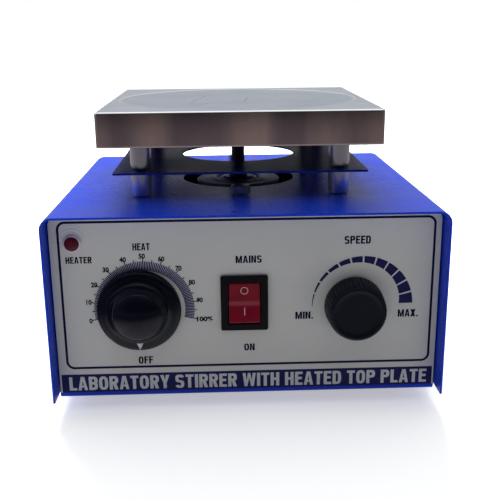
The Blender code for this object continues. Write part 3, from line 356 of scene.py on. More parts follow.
def rocker_finish():
    """Red moulding, with a painted highlight that makes it paler along the crease."""
    gloss = {"Coat Weight": 0.05, "Coat Roughness": 0.15, "Specular IOR Level": 0.12}
    made = Finish("red_plastic_rocker", gloss)
    broad, fine = made.noise(0.006, 3), made.noise(0.0006, 3)
    body = made.mix(made.remap(broad, 0.3, 0.7), (0.165, 0.004, 0.014), (0.205, 0.006, 0.020))
    # painted highlight: paler red along the crease
    crease_highlight = made.remap(made.sum("ABSOLUTE", made.axis("Z")), 0.0004, 0.0017, 1.0, 0.0)
    crease_highlight = made.times(crease_highlight, made.remap(fine, 0.3, 0.7, 0.45, 0.65))
    made.feed("Base Color", made.mix(crease_highlight, body, (0.340, 0.080, 0.110)))
    made.feed("Roughness", made.remap(broad, 0.3, 0.7, 0.28, 0.36))
    made.bump(fine, 0.00002)
    return made.material


def braid_finish():
    """Woven glass sleeving: crossing diagonal threads."""
    made = Finish("glass_sleeving", {"Sheen Weight": 0.2})
    height = made.axis("Z")
    across = made.sum("ADD", made.axis("X"), made.axis("Y"))
    one = made.sum("SINE", made.times(made.sum("ADD", height, across), 2 * math.pi / (0.9 * MM)))
    two = made.sum("SINE", made.times(made.sum("SUBTRACT", height, across), 2 * math.pi / (0.9 * MM)))
    weave = made.remap(made.times(one, two), -0.8, 0.8)
    made.feed("Base Color", made.mix(weave, (0.44, 0.42, 0.36), (0.72, 0.70, 0.64)))
    made.feed("Roughness", 0.85)
    made.bump(weave, 0.00012)
    return made.material


def board_finish():
    """Circuit board: green mask on the sheet, and darker parts standing above it."""
    made = Finish("board_green_mask", {"IOR": 1.5})
    sheet_top = node_low("triac_heatsink").z
    above = made.remap(made.axis("Z"), sheet_top + 0.0001, sheet_top + 0.0003)
    tracks = made.remap(made.cells(0.0045, "DISTANCE_TO_EDGE"), 0.04, 0.08)
    mask = made.mix(tracks, (0.030, 0.230, 0.075), (0.010, 0.120, 0.040))
    parts = made.mix(made.remap(made.noise(0.004, 2), 0.4, 0.6), (0.035, 0.035, 0.040), (0.06, 0.06, 0.065))
    made.feed("Base Color", made.mix(above, mask, parts))
    made.feed("Roughness", made.remap(tracks, 0.0, 1.0, 0.32, 0.45))
    made.bump(tracks, 0.00003)
    return made.material


BLUE = (0.009, 0.046, 0.560)
enamel = enamel_finish("blue_powder_coat", BLUE)
# painted shade: a darker, duller copy of the blue enamel for the shield, which sits in the hot plate's shade
shaded_enamel = enamel_finish("blue_powder_coat_painted_shade", (0.007, 0.020, 0.220), 0.03, 0.0, 0.1)
facia_grey = facia_finish()
plate_top_steel = plate_top_finish()
plate_skirt_steel = plate_skirt_finish()
# painted highlight: a much brighter copy of the stainless for the plate's rounded front fold
fold_highlight_steel = brushed_finish("stainless_fold_painted_highlight", (0.86, 0.86, 0.88), (0.96, 0.96, 0.97), 0.22, (40, 40, 1))
tube_steel = brushed_finish("stainless_tube", (0.40, 0.42, 0.50), (0.56, 0.57, 0.64), 0.20, (1, 1, 0.2))
navy_ink = ink_finish("ink_navy", (0.012, 0.012, 0.072))
line_ink = ink_finish("ink_navy_line", (0.005, 0.005, 0.034))
scale_ink = ink_finish("ink_scale_blue", (0.008, 0.008, 0.085))
black_ink = ink_finish("ink_black", (0.004, 0.004, 0.010))
pale_ink = ink_finish("ink_pale_grey", (0.50, 0.51, 0.54))
white_ink = ink_finish("ink_white", (0.60, 0.58, 0.60))
mark_ink = ink_finish("ink_rocker_mark", (0.56, 0.33, 0.37))
bakelite = bakelite_finish()
knob_black = plain_finish("black_plastic_satin", (0.0022, 0.0048, 0.0105), 0.45, vary=0.25, specular=0.12)
bezel_black = plain_finish("black_plastic_bezel", (0.0060, 0.0050, 0.0075), 0.34, vary=0.2, specular=0.07)
red_plastic = rocker_finish()
lens_red = lens_finish()
lamp_ring = plain_finish("lamp_ring_pale", (0.66, 0.54, 0.58), 0.35, vary=0.06, specular=0.3)
zinc = plain_finish("zinc_plated_steel", (0.58, 0.58, 0.57), 0.32, 1.0, 0.12, 0.0015)
dark_steel = plain_finish("dark_steel_satin", (0.055, 0.056, 0.065), 0.45, 0.9, 0.2, 0.0006)
shaft_black = plain_finish("dark_steel_shaft", (0.010, 0.010, 0.013), 0.55, 0.3, 0.2, 0.0006)
bracket_steel = plain_finish("dark_steel_bracket", (0.16, 0.19, 0.32), 0.42, 0.3, 0.45, 0.0011, 0.00010)
hub_steel = plain_finish("dark_steel_hub", (0.060, 0.066, 0.105), 0.35, 0.8, 0.3, 0.0010)
head_steel = plain_finish("passivated_steel", (0.34, 0.36, 0.42), 0.32, 1.0, 0.3, 0.0012)
aluminium = plain_finish("aluminium_turned", (0.66, 0.67, 0.69), 0.34, 1.0, 0.06, 0.0005)
brass = plain_finish("brass_turned", (0.72, 0.52, 0.22), 0.30, 1.0, 0.08, 0.0006)
rubber = plain_finish("rubber_black", (0.016, 0.016, 0.017), 0.80, vary=0.2, depth=0.00006)
mica = plain_finish("mica_sheet", (0.50, 0.40, 0.25), 0.42, vary=0.22, grain=0.004)
mineral = plain_finish("mineral_fibre_board", (0.72, 0.70, 0.64), 0.92, grain=0.0009, depth=0.00015)
ferrite = plain_finish("ferrite_grey", (0.065, 0.065, 0.072), 0.48, vary=0.15)
porcelain = plain_finish("porcelain_glaze", (0.80, 0.78, 0.73), 0.22, vary=0.05)
board_green = board_finish()
sleeving = braid_finish()


# ---------------------------------------------------------------- mesh helpers
def prism(shape, outline, axis, low, high):
    """Extrudes a closed outline: (u, v) are (y, z) on axis X, (x, z) on Y and (x, y) on Z."""
    place = {
        "X": lambda u, v, w: (w, u, v),
        "Y": lambda u, v, w: (u, w, v),
        "Z": lambda u, v, w: (u, v, w),
    }[axis]
    near = [shape.verts.new(place(u, v, low)) for u, v in outline]
    far = [shape.verts.new(place(u, v, high)) for u, v in outline]
    faces = [shape.faces.new(near), shape.faces.new(list(reversed(far)))]
    for i in range(len(outline)):
        j = (i + 1) % len(outline)
        faces.append(shape.faces.new((near[j], near[i], far[i], far[j])))
    return faces


def band(shape, outer, inner, axis_low, axis_high):
    """A flat frame between two outlines of the same count in (x, z), from one y to another."""
    rows = []
    for outline, y in ((outer, axis_low), (inner, axis_low), (inner, axis_high), (outer, axis_high)):
        rows.append([shape.verts.new((u, y, v)) for u, v in outline])
    for first, second in zip(rows, rows[1:] + rows[:1]):
        for i in range(len(first)):
            j = (i + 1) % len(first)
            shape.faces.new((first[i], first[j], second[j], second[i]))


def turned(shape, profile, centre=(0, 0, 0), axis=UP, steps=64, ring=False, ripple=None):
    """Revolves (radius, height) points about an axis. ripple(index, angle) scales a radius."""
    turn = UP.rotation_difference(axis).to_matrix()
    loops = []
    for index, (radius, height) in enumerate(profile):
        loop = []
        for i in range(1 if radius == 0 else steps):
            angle = 2 * math.pi * i / steps
            r = radius * ripple(index, angle) if ripple else radius
            spoke = Vector((r * math.cos(angle), r * math.sin(angle), height))
            loop.append(shape.verts.new(Vector(centre) + turn @ spoke))
        loops.append(loop)
    pairs = list(zip(loops, loops[1:] + loops[:1])) if ring else list(zip(loops, loops[1:]))
    for first, second in pairs:
        for i in range(steps):
            j = (i + 1) % steps
            quad = [first[i % len(first)], first[j % len(first)]]
            quad += [second[j % len(second)], second[i % len(second)]]
            shape.faces.new(list(dict.fromkeys(quad)))
    for loop in () if ring else (loops[0], loops[-1]):
        if len(loop) > 1:
            shape.faces.new(loop)


def bore(shape, radius, reach, centre, axis=UP, steps=32):
    """A round cutter that reaches as far to both sides of its centre."""
    turned(shape, [(radius, -reach), (radius, reach)], centre, axis, steps)


def block(shape, low, high):
    corners = [(low[0], low[1]), (high[0], low[1]), (high[0], high[1]), (low[0], high[1])]
    prism(shape, corners, "Z", low[2], high[2])


def slab(shape, spot, half, low, high):
    """A block about a spot in x and z, from one y to another."""
    block(shape, (spot[0] - half[0], low, spot[1] - half[1]), (spot[0] + half[0], high, spot[1] + half[1]))


def solid(make, *sizes, **options):
    """A new shape holding what one of the helpers above makes."""
    shape = bmesh.new()
    make(shape, *sizes, **options)
    return shape


def rounded_rectangle(width, height, radius, centre=(0, 0), steps=6):
    outline = []
    for quarter, (sx, sy) in enumerate(((1, 1), (-1, 1), (-1, -1), (1, -1))):
        cx = centre[0] + sx * (width / 2 - radius)
        cy = centre[1] + sy * (height / 2 - radius)
        for i in range(steps + 1):
            angle = math.pi / 2 * (quarter + i / steps)
            outline.append((cx + radius * math.cos(angle), cy + radius * math.sin(angle)))
    return outline


def folded_sheet(path, thickness, bend, steps=14):
    """Outline of a bent sheet. The path is one face; the other lies to its left."""
    points = [Vector(p) for p in path]
    near, far = [], []

    def left(direction):
        return Vector((-direction.y, direction.x))

    def put(point, normal):
        near.append(tuple(point))
        far.append(tuple(point + normal * thickness))

    put(points[0], left((points[1] - points[0]).normalized()))
    for before, corner, after in zip(points, points[1:], points[2:]):
        into, out = (corner - before).normalized(), (after - corner).normalized()
        turn = math.atan2(into.x * out.y - into.y * out.x, into.dot(out))
        side = math.copysign(1, turn)
        radius = bend if side > 0 else bend - thickness
        centre = corner - into * radius * math.tan(abs(turn) / 2) + left(into) * side * radius
        for i in range(steps + 1):
            normal = Matrix.Rotation(turn * i / steps, 2) @ left(into)
            put(centre - normal * side * radius, normal)
    put(points[-1], left((points[-1] - points[-2]).normalized()))
    return near + far[::-1]


def hexagon(across_flats, centre, turn=30):
    radius = across_flats / math.sqrt(3)
    corners = [math.radians(60 * i + turn) for i in range(6)]
    return [(centre[0] + radius * math.cos(a), centre[1] + radius * math.sin(a)) for a in corners]


def arc(radius, start, end, steps, centre=(0, 0)):
    """Points on an arc, angles in degrees."""
    turns = [math.radians(start + (end - start) * i / steps) for i in range(steps + 1)]
    return [(centre[0] + radius * math.cos(a), centre[1] + radius * math.sin(a)) for a in turns]


def mesh_object(name, shape, finishes=()):
    bmesh.ops.recalc_face_normals(shape, faces=shape.faces)
    mesh = bpy.data.meshes.new(name)
    shape.to_mesh(mesh)
    shape.free()
    for finish in finishes:
        mesh.materials.append(finish)
    obj = bpy.data.objects.new(name, mesh)
    bpy.context.scene.collection.objects.link(obj)
    return obj


def evaluated_mesh(obj):
    bpy.context.view_layer.update()
    graph = bpy.context.evaluated_depsgraph_get()
    return bpy.data.meshes.new_from_object(obj.evaluated_get(graph))


def boolean(obj, shape, operation="DIFFERENCE"):
    """Cuts a helper shape from the object, or joins it on, at once."""
    helper = mesh_object("helper", shape)
    step = obj.modifiers.new("step", "BOOLEAN")
    step.operation, step.object, step.solver = operation, helper, "EXACT"
    result = evaluated_mesh(obj)
    obj.modifiers.clear()
    finishes = [slot.material for slot in obj.material_slots]
    obj.data = result
    if not result.materials:
        for finish in finishes:
            result.materials.append(finish)
    bpy.data.objects.remove(helper)
    return obj


def soften(obj, width, segments=2, angle=32):
    """Rounds the sharp edges and shades the rest smooth."""
    obj.data.shade_smooth()
    edge = obj.modifiers.new("edges", "BEVEL")
    edge.width, edge.segments = width, segments
    edge.limit_method, edge.angle_limit = "ANGLE", math.radians(angle)
    edge.use_clamp_overlap = True
    edge.harden_normals = True
    return obj


def smooth(obj, angle=32):
    obj.data.shade_smooth()
    obj.data.set_sharp_from_angle(angle=math.radians(angle))
    return obj


def piece(obj, body, slot, *nodes):
    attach(obj, body)
    if nodes:
        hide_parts(*nodes)
    return obj


def turned_piece(name, profile, centre, axis, finish, body, slot, *nodes, steps=64, ring=False, angle=32):
    shape = bmesh.new()
    turned(shape, profile, centre, axis, steps, ring)
    return piece(smooth(mesh_object(name, shape, [finish]), angle), body, slot, *nodes)


# ---------------------------------------------------------------- case
def make_cover():
    half, low = COVER_HIGH.x, COVER_LOW.z
    path = [(half, low), (half, CASE_TOP), (-half, CASE_TOP), (-half, low)]
    shape = solid(prism, folded_sheet(path, SHEET, COVER_BEND), "Y", COVER_LOW.y, COVER_HIGH.y)
    cover = mesh_object("case_cover", shape, [enamel])
    reach = 4 * SHEET
    cutter = bmesh.new()
    for place in PILLARS.values():
        bore(cutter, 0.0033, reach, place + UP * CASE_TOP, UP, 32)
    for word in ("front", "rear"):
        bolt = node_middle("bracket_bolt_" + word)
        bore(cutter, 0.0033, reach, (bolt.x, bolt.y, CASE_TOP), UP, 32)
    bore(cutter, GROMMET_RADIUS, reach, LEAD, UP, 32)
    bore(cutter, CASE_HOLE_RADIUS, reach, STACK + UP * CASE_TOP, UP, 128)
    for word in CORNER_WORDS:
        screw = node_middle("cover_screw_" + word)
        side = math.copysign(1, screw.x)
        at = (side * half, screw.y, screw.z)
        bore(cutter, 0.0022, reach, at, RIGHT, 32)
    boolean(cover, cutter)
    soften(cover, 0.00035, 3)
    piece(cover, "case", "blue_enamel", "cover")


def panel_cutter(shape):
    """Adds the openings for the four front controls."""
    reach = 0.006
    for place, radius in ((HEAT, 0.0052), (SPEED, 0.0039), (LAMP, 0.0042)):
        bore(shape, radius, reach, place, FORWARD, 48)
    width, height = BEZEL_WIDTH - 0.0031, BEZEL_HEIGHT - 0.0024
    window = rounded_rectangle(width, height, 0.001, (SWITCH.x, SWITCH.z), 4)
    prism(shape, window, "Y", PANEL_Y - reach, PANEL_Y + reach)


def make_chassis():
    half, low, top = CHASSIS_HIGH.x, CHASSIS_LOW.z, CHASSIS_HIGH.z
    front = CHASSIS_LOW.y
    path = [(front, top), (front, low), (BACK_Y, low), (BACK_Y, top)]
    sheet = folded_sheet(path, SHEET, CHASSIS_BEND, 10)
    outside, inside = sheet[: len(sheet) // 2], sheet[len(sheet) // 2 :]
    chassis = mesh_object("case_chassis", solid(prism, outside, "X", -half, half), [enamel])
    rise = top - SHEET
    boolean(chassis, solid(prism, [(y, min(z, rise)) for y, z in inside], "X", SHEET - half, half - SHEET))
    mouth = bmesh.new()
    block(mouth, (SHEET - half, front + FLANGE, rise - 0.01), (half - SHEET, BACK_Y - FLANGE, top + 0.01))
    boolean(chassis, mouth)
    windows = bmesh.new()
    past = half + 0.01
    block(windows, (-past, front + FLANGE, SIDE_FLANGE_TOP), (past, BACK_Y - FLANGE, top + 0.01))
    boolean(chassis, windows)
    margin = 0.0002
    corners = bmesh.new()
    outline = rounded_rectangle(2 * (half + margin), 2 * (top + margin), PANEL_CORNER + margin, steps=10)
    prism(corners, outline, "Y", COVER_LOW.y, COVER_HIGH.y)
    boolean(chassis, corners, "INTERSECT")
    cutter = bmesh.new()
    panel_cutter(cutter)
    bore(cutter, 0.0063, 0.005, FUSE, FORWARD, 48)
    for word in ("left", "right"):
        screw = node_middle("inlet_screw_" + word)
        bore(cutter, 0.0019, 0.005, (screw.x, BACK_Y, screw.z), FORWARD, 24)
    socket = rounded_rectangle(0.0282, 0.0208, 0.002, (INLET.x, INLET.z))
    prism(cutter, socket, "Y", BACK_Y - 0.005, BACK_Y + 0.005)
    for word in CORNER_WORDS:
        foot = node_middle("foot_" + word)
        bore(cutter, 0.0038, 0.004, (foot.x, foot.y, low), UP, 32)
        screw = node_middle("cover_screw_" + word)
        at = (math.copysign(half, screw.x), screw.y, screw.z)
        bore(cutter, 0.0018, 0.005, at, RIGHT, 24)
    boolean(chassis, cutter)
    soften(chassis, 0.00025, 2)
    piece(chassis, "case", "blue_enamel", "chassis")


def make_facia():
    half, centre = FACIA_HIGH.x, (0, (FACIA_LOW.z + FACIA_HIGH.z) / 2)
    corners = rounded_rectangle(2 * half, FACIA_HIGH.z - FACIA_LOW.z, PANEL_CORNER, centre, 10)
    outline = [point for point in corners if point[1] > centre[1]]
    outline += [(-half, FACIA_LOW.z), (half, FACIA_LOW.z)]
    facia = mesh_object("front_facia", solid(prism, outline, "Y", PANEL_Y, FACIA_HIGH.y), [facia_grey])
    boolean(facia, solid(panel_cutter))
    soften(facia, 0.0001, 2)
    piece(facia, "case", "facia_print", "facia_plate")


def make_feet():
    profile = [(0, 0.0012), (0.0032, 0.0012), (0.0036, 0.0002), (0.0040, 0), (0.0072, 0), (0.0079, 0.0003),
               (0.0082, 0.0010), (0.0090, 0.0060), (0.0095, 0.0066), (0.0094, 0.0073), (0.0089, 0.0077),
               (0.0035, 0.0077), (0.0035, 0.0095), (0.0052, 0.0095), (0.0050, 0.0104), (0.0030, 0.0137),
               (0, 0.0137)]
    for word in CORNER_WORDS:
        foot = node_middle("foot_" + word)
        turned_piece("rubber_foot_" + word, profile, (foot.x, foot.y, 0), UP, rubber, "case", "rubber",
                     "foot_" + word, steps=48)


def screw_head(name, spot, axis, profile, cross, node):
    """Pan-head screw with a cross recess, its seat at spot and its head along axis."""
    screw = mesh_object(name, solid(turned, profile, (0, 0, 0), UP, 40), [zinc])
    top, deep, reach, half = cross
    for sx, sy in ((reach, half), (half, reach)):
        boolean(screw, solid(block, (-sx, -sy, top - deep), (sx, sy, top + 0.01)))
    screw.data.transform(Matrix.Translation(spot) @ UP.rotation_difference(axis).to_matrix().to_4x4())
    soften(screw, 0.00012, 2, 40)
    piece(screw, "case", "plated_steel", node)


def make_screws():
    head = [(0, 0.0017), (0.0012, 0.00166), (0.0022, 0.0015), (0.0030, 0.0011), (0.0035, 0.0006), (0.0036, 0),
            (0.0015, 0), (0.0015, -0.0070), (0, -0.0070)]
    for word in CORNER_WORDS:
        low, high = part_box("cover_screw_" + word)
        side = math.copysign(1, low.x)
        spot = Vector((side * (COVER_HIGH.x + GAP), (low.y + high.y) / 2, (low.z + high.z) / 2))
        screw_head("pan_screw_" + word, spot, RIGHT * side, head, (0.0017, 0.0011, 0.0019, 0.00035),
                   "cover_screw_" + word)
    head = [(0, 0.0016), (0.0011, 0.00155), (0.0020, 0.0014), (0.0027, 0.0010), (0.0031, 0.0005), (0.0031, 0),
            (0.0015, 0), (0.0015, -0.0100), (0, -0.0100)]
    for word in ("left", "right"):
        low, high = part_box("inlet_screw_" + word)
        spot = Vector(((low.x + high.x) / 2, high.y - 0.0016, (low.z + high.z) / 2))
        screw_head("socket_screw_" + word, spot, -FORWARD, head, (0.0016, 0.0010, 0.0017, 0.0003),
                   "inlet_screw_" + word)


# ---------------------------------------------------------------- hot plate, shield and pillars
def make_plate():
    """Pressed stainless tray: square rim, rounded fold, a shallow round recess, and a skirt open below."""
    half, corner = (PLATE_HIGH.x - PLATE_LOW.x) / 2, 0.0022
    fold, sheet, top, low = 0.0011, 0.0010, PLATE_HIGH.z, PLATE_LOW.z
    recess, recess_radius, slope = RECESS_DEPTH, RECESS_RADIUS, RECESS_SLOPE
    steps = 16
    square = rounded_rectangle(2, 2, corner / half, (0, 0), steps)

    def loop_at(inset, z):
        scale = half - inset
        radius = max(corner - inset, 0.0002)
        return [(x, y, z) for x, y in densify(rounded_rectangle(2 * scale, 2 * scale, radius, (0, 0), steps))]

    def densify(points, per_side=24):
        dense = []
        for i, (a, b) in enumerate(zip(points, points[1:] + points[:1])):
            dense.append(a)
            if i % (steps + 1) == steps:
                for k in range(1, per_side):
                    t = k / per_side
                    dense.append((a[0] + (b[0] - a[0]) * t, a[1] + (b[1] - a[1]) * t))
        return dense

    count = len(densify(square))
    base = loop_at(0, 0)
    angles = [math.atan2(y, x) for x, y, _ in base]

    def circle_at(radius, z):
        return [(radius * math.cos(a), radius * math.sin(a), z) for a in angles]

    rows = []
    rows.append(loop_at(sheet, low + 0.0001))
    rows.append(loop_at(sheet - 0.0001, low))
    rows.append(loop_at(0.0001, low))
    rows.append(loop_at(0.0, low + 0.0001))
    skirt_rows = len(rows)
    for i in range(9):
        turn = math.pi / 2 * i / 8
        rows.append(loop_at(fold * (1 - math.cos(turn)), top - fold * (1 - math.sin(turn))))
    rows.append(circle_at(recess_radius + 0.0012, top))
    rows.append(circle_at(recess_radius, top - 0.00002))
    for i in range(1, 6):
        t = i / 6
        ease = t * t * (3 - 2 * t)
        rows.append(circle_at(recess_radius - slope * t, top - recess * ease))
    rows.append(circle_at(recess_radius - slope, top - recess))
    for radius in (0.060, 0.040, 0.020, 0.006):
        rows.append(circle_at(radius, top - recess))
    shape = bmesh.new()
    loops = [[shape.verts.new((STACK.x + x, STACK.y + y, z)) for x, y, z in row] for row in rows]
    centre = shape.verts.new((STACK.x, STACK.y, top - recess))
    for index, (first, second) in enumerate(zip(loops, loops[1:])):
        for i in range(count):
            j = (i + 1) % count
            face = shape.faces.new((first[i], first[j], second[j], second[i]))
            # material 2, the brighter fold steel, paints a highlight along the fold
            face.material_index = 1 if index < skirt_rows + 1 else 2 if index < skirt_rows + 8 else 0
    for i in range(count):
        shape.faces.new((loops[-1][i], loops[-1][(i + 1) % count], centre))
    inner = [loops[0]]
    for row in (loop_at(sheet, top - sheet - 0.0003), loop_at(sheet + 0.0003, top - sheet)):
        inner.append([shape.verts.new((STACK.x + x, STACK.y + y, z)) for x, y, z in row])
    for first, second in zip(inner, inner[1:]):
        for i in range(count):
            j = (i + 1) % count
            shape.faces.new((first[j], first[i], second[i], second[j])).material_index = 1
    shape.faces.new(inner[-1])
    tray = mesh_object("stainless_tray", shape, [plate_top_steel, plate_skirt_steel, fold_highlight_steel.material])
    smooth(tray, 40)
    piece(tray, "case", "stainless", "hot_plate")


def make_shield():
    side = SHIELD_HIGH.x - SHIELD_LOW.x
    shape = solid(prism, rounded_rectangle(side, side, 0.001, STACK.xy, 4), "Z", SHIELD_LOW.z, SHIELD_HIGH.z)
    # painted shade: the shield takes the darker copy of the blue enamel
    shield = mesh_object("shield_sheet", shape, [shaded_enamel])
    cutter = bmesh.new()
    bore(cutter, CASE_HOLE_RADIUS, 0.01, STACK + UP * SHIELD_LOW.z, UP, 128)
    for place in PILLARS.values():
        bore(cutter, 0.0033, 0.01, place + UP * SHIELD_LOW.z, UP, 32)
    bore(cutter, 0.0036, 0.01, (LEAD.x, LEAD.y, SHIELD_LOW.z), UP, 32)
    boolean(shield, cutter)
    soften(shield, 0.0002, 2)
    piece(shield, "case", "blue_enamel", "heat_shield")


def make_pillars():
    outer, inner, chamfer = 0.0059, 0.0034, 0.0004
    for level in ("lower", "upper"):
        for word in CORNER_WORDS:
            node = f"{level}_spacer_{word}"
            low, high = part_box(node)
            profile = [(outer, low.z + chamfer), (outer, high.z - chamfer), (outer - chamfer, high.z),
                       (inner + chamfer, high.z), (inner, high.z - chamfer), (inner, low.z + chamfer),
                       (inner + chamfer, low.z), (outer - chamfer, low.z)]
            turned_piece(f"tube_{level}_{word}", profile, PILLARS[word], UP, tube_steel.material, "case",
                         "stainless", node, ring=True)


def make_hex_bolts():
    """Chamfered hexagon heads with a washer face, and the shank below the cover."""
    for word in ("front", "rear"):
        node = "bracket_bolt_" + word
        low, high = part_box(node)
        x, y = (low.x + high.x) / 2, (low.y + high.y) / 2
        seat, top = high.z - 0.0048, high.z
        shape = solid(prism, hexagon(0.0100, (x, y), 47), "Z", seat, top)
        bolt = mesh_object("hex_bolt_" + word, shape, [head_steel])
        cone = bmesh.new()
        turned(cone, [(0.0049, seat - 0.001), (0.0049, seat), (0.0049, seat + 0.0003),
                      (0.0062, seat + 0.0006), (0.0062, top - 0.0010), (0.0046, top),
                      (0.0046, top + 0.001)], (x, y, 0), UP, 64)
        boolean(bolt, cone, "INTERSECT")
        boolean(bolt, solid(turned, [(0.0030, low.z), (0.0030, seat + 0.001)], (x, y, 0), UP, 32), "UNION")
        soften(bolt, 0.00015, 2, 25)
        piece(bolt, "case", "plated_steel", node)


# ---------------------------------------------------------------- drive seen through the holes
def make_bracket():
    """Strap under the cover, with a turned boss standing in the case's hole round the coupling."""
    low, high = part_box("motor_bracket")
    coupling_low = node_low("shaft_coupling").z
    thickness, half, z, reach = 0.0020, 0.0120, 0.1010, 0.0540
    opening, clearance = 0.0085, COUPLING_RADIUS + 0.0005
    foot_low = CASE_TOP - SHEET - GAP - thickness
    path = [(low.y, foot_low), (STACK.y - reach + 0.010, foot_low), (STACK.y - reach + 0.014, z),
            (STACK.y + reach - 0.014, z), (STACK.y + reach - 0.010, foot_low), (high.y, foot_low)]
    shape = solid(prism, folded_sheet(path, thickness, 0.0035, 8), "X", STACK.x - half, STACK.x + half)
    bracket = mesh_object("drive_bracket", shape, [bracket_steel])
    boss = bmesh.new()
    top, radius = high.z, 0.0262
    face, groove = top - 0.0003, top - 0.0009
    profile = [(radius - 0.0004, low.z + 0.0045), (radius, low.z + 0.0049), (radius, face - 0.0008),
               (radius - 0.0008, face), (0.0172, face), (0.0166, top - 0.0001), (0.0160, top), (0.0148, top),
               (0.0142, top - 0.0001), (0.0138, groove), (0.0122, groove), (0.0118, top - 0.0001),
               (0.0114, top), (clearance + 0.0003, top), (clearance, top - 0.0003),
               (clearance, coupling_low - 0.0010), (opening, coupling_low - 0.0010),
               (opening, low.z + 0.0045)]
    turned(boss, profile, STACK, UP, 96, ring=True)
    centre = solid(turned, [(clearance + 0.001, -0.01), (clearance + 0.001, 0.005)], STACK + UP * z, UP, 64)
    boolean(bracket, centre)
    boolean(bracket, boss, "UNION")
    cutter = bmesh.new()
    for sx in (-1, 1):
        bore(cutter, 0.0018, 0.01, STACK + Vector((sx * 0.018, 0, z)), UP, 24)
    boolean(bracket, cutter)
    nuts = bmesh.new()
    for word in ("front", "rear"):
        bolt = node_middle("bracket_bolt_" + word)
        prism(nuts, hexagon(0.0100, (bolt.x, bolt.y)), "Z", foot_low - 0.005, foot_low + GAP)
    boolean(bracket, nuts, "UNION")
    bores = bmesh.new()
    for word in ("front", "rear"):
        bolt = node_middle("bracket_bolt_" + word)
        bore(bores, 0.0033, 0.012, (bolt.x, bolt.y, foot_low), UP, 24)
    boolean(bracket, bores)
    soften(bracket, 0.0001, 2, 40)
    piece(bracket, "case", "dark_steel", "motor_bracket")


def make_drive_line():
    low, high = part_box("shaft_coupling")
    radius, neck, shoulder, middle = COUPLING_RADIUS, 0.0058, 0.1148, (low.z + high.z) / 2
    profile = [(radius - 0.0005, low.z), (radius, low.z + 0.0005), (radius, shoulder - 0.0006),
               (radius - 0.0006, shoulder), (neck + 0.0005, shoulder), (neck, shoulder + 0.0005),
               (neck, high.z - 0.0006), (neck - 0.0006, high.z), (0.0043, high.z), (0.0043, middle),
               (0.0033, middle), (0.0033, low.z)]
    coupling = mesh_object("coupling_hub", solid(turned, profile, STACK, UP, 72, ring=True), [hub_steel])
    cutter = solid(turned, [(0.0012, 0.0044), (0.0012, 0.02)], STACK + UP * (shoulder + 0.0026), FORWARD, 24)
    boolean(coupling, cutter)
    soften(coupling, 0.00012, 2, 40)
    piece(coupling, "rotor", "aluminium", "shaft_coupling")
    low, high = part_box("drive_shaft")
    radius = 0.0040
    profile = [(0, low.z), (radius - 0.0003, low.z), (radius, low.z + 0.0003), (radius, high.z - 0.0003),
               (radius - 0.0003, high.z), (0, high.z)]
    turned_piece("shaft_rod", profile, STACK, UP, shaft_black, "rotor", "dark_steel", "drive_shaft")


# ---------------------------------------------------------------- front controls
def make_heat_knob():
    """Skirted dial knob: serrated rim, a deep domed grip and a white pointer."""
    reach, rim = 0.0170, 0.02275
    teeth = 96
    cap, sag = 0.0122, 0.0036
    sphere = (cap * cap + sag * sag) / (2 * sag)
    dome = [(r, reach - sphere + math.sqrt(sphere**2 - r * r)) for r in [cap * i / 12 for i in range(13)]]
    profile = [*dome, (0.0127, 0.0130), (0.0133, 0.0118), (0.0141, 0.0098), (0.0150, 0.0080),
               (0.0159, 0.0067), (0.0168, 0.0059), (0.0178, 0.0054), (0.0190, 0.0052), (0.0208, 0.0050),
               (0.0219, 0.0044), (0.0225, 0.0036), (rim, 0.0028), (rim, 0.0014), (0.0225, 0.0010),
               (0.0140, 0.0010), (0.0120, 0.0040), (0.0034, 0.0040), (0.0034, 0.0126), (0, 0.0126)]
    notched = {22: 0.006, 23: 0.012, 24: 0.016, 25: 0.016, 26: 0.006}

    def ripple(index, angle):
        return 1 - notched.get(index, 0) * (0.5 + 0.5 * math.cos(teeth * angle))

    shape = bmesh.new()
    turned(shape, profile, (0, 0, 0), FORWARD, teeth * 6, ripple=ripple)
    knob = smooth(mesh_object("heat_dial_knob", shape, [bakelite]), 60)
    knob.location = HEAT
    piece(knob, "heat_knob_and_spindle", "black_bakelite", "heat_knob")
    shape = bmesh.new()
    tip, root, half = -0.0213, -0.0176, 0.0018
    prism(shape, [(0, tip), (half, root), (-half, root)], "Y", -0.00560, -0.0046)
    pointer = soften(mesh_object("heat_dial_pointer", shape, [white_ink]), 0.0001)
    pointer.location = HEAT
    piece(pointer, "heat_knob_and_spindle", "black_bakelite")


def make_speed_knob():
    """Round push-on knob with a fluted side and a flat face in a soft rim."""
    reach, radius = 0.0160, 0.0163
    profile = [(0, reach - 0.0007), (0.0105, reach - 0.0007), (0.0118, reach - 0.0006),
               (0.0125, reach - 0.0003), (0.0132, reach), (0.0138, reach), (0.0144, reach - 0.0003),
               (0.0149, reach - 0.0009), (0.0153, reach - 0.0018), (radius - 0.0006, reach - 0.0035),
               (radius, 0.0030), (radius, 0.0014), (radius - 0.0004, 0.0010), (0.0100, 0.0010),
               (0.0080, 0.0041), (0.0034, 0.0041), (0.0034, 0.0121), (0, 0.0121)]
    flutes = 44
    depth = {7: 0.006, 8: 0.020, 9: 0.034, 10: 0.034, 11: 0.010}

    def ripple(index, angle):
        wave = abs(math.sin(flutes * angle / 2))
        return 1 - depth.get(index, 0) * (1 - wave) ** 1.5

    shape = bmesh.new()
    turned(shape, profile, (0, 0, 0), FORWARD, flutes * 12, ripple=ripple)
    knob = smooth(mesh_object("speed_control_knob", shape, [knob_black]), 60)
    knob.location = SPEED
    piece(knob, "speed_knob_and_shaft", "black_plastic", "speed_knob")


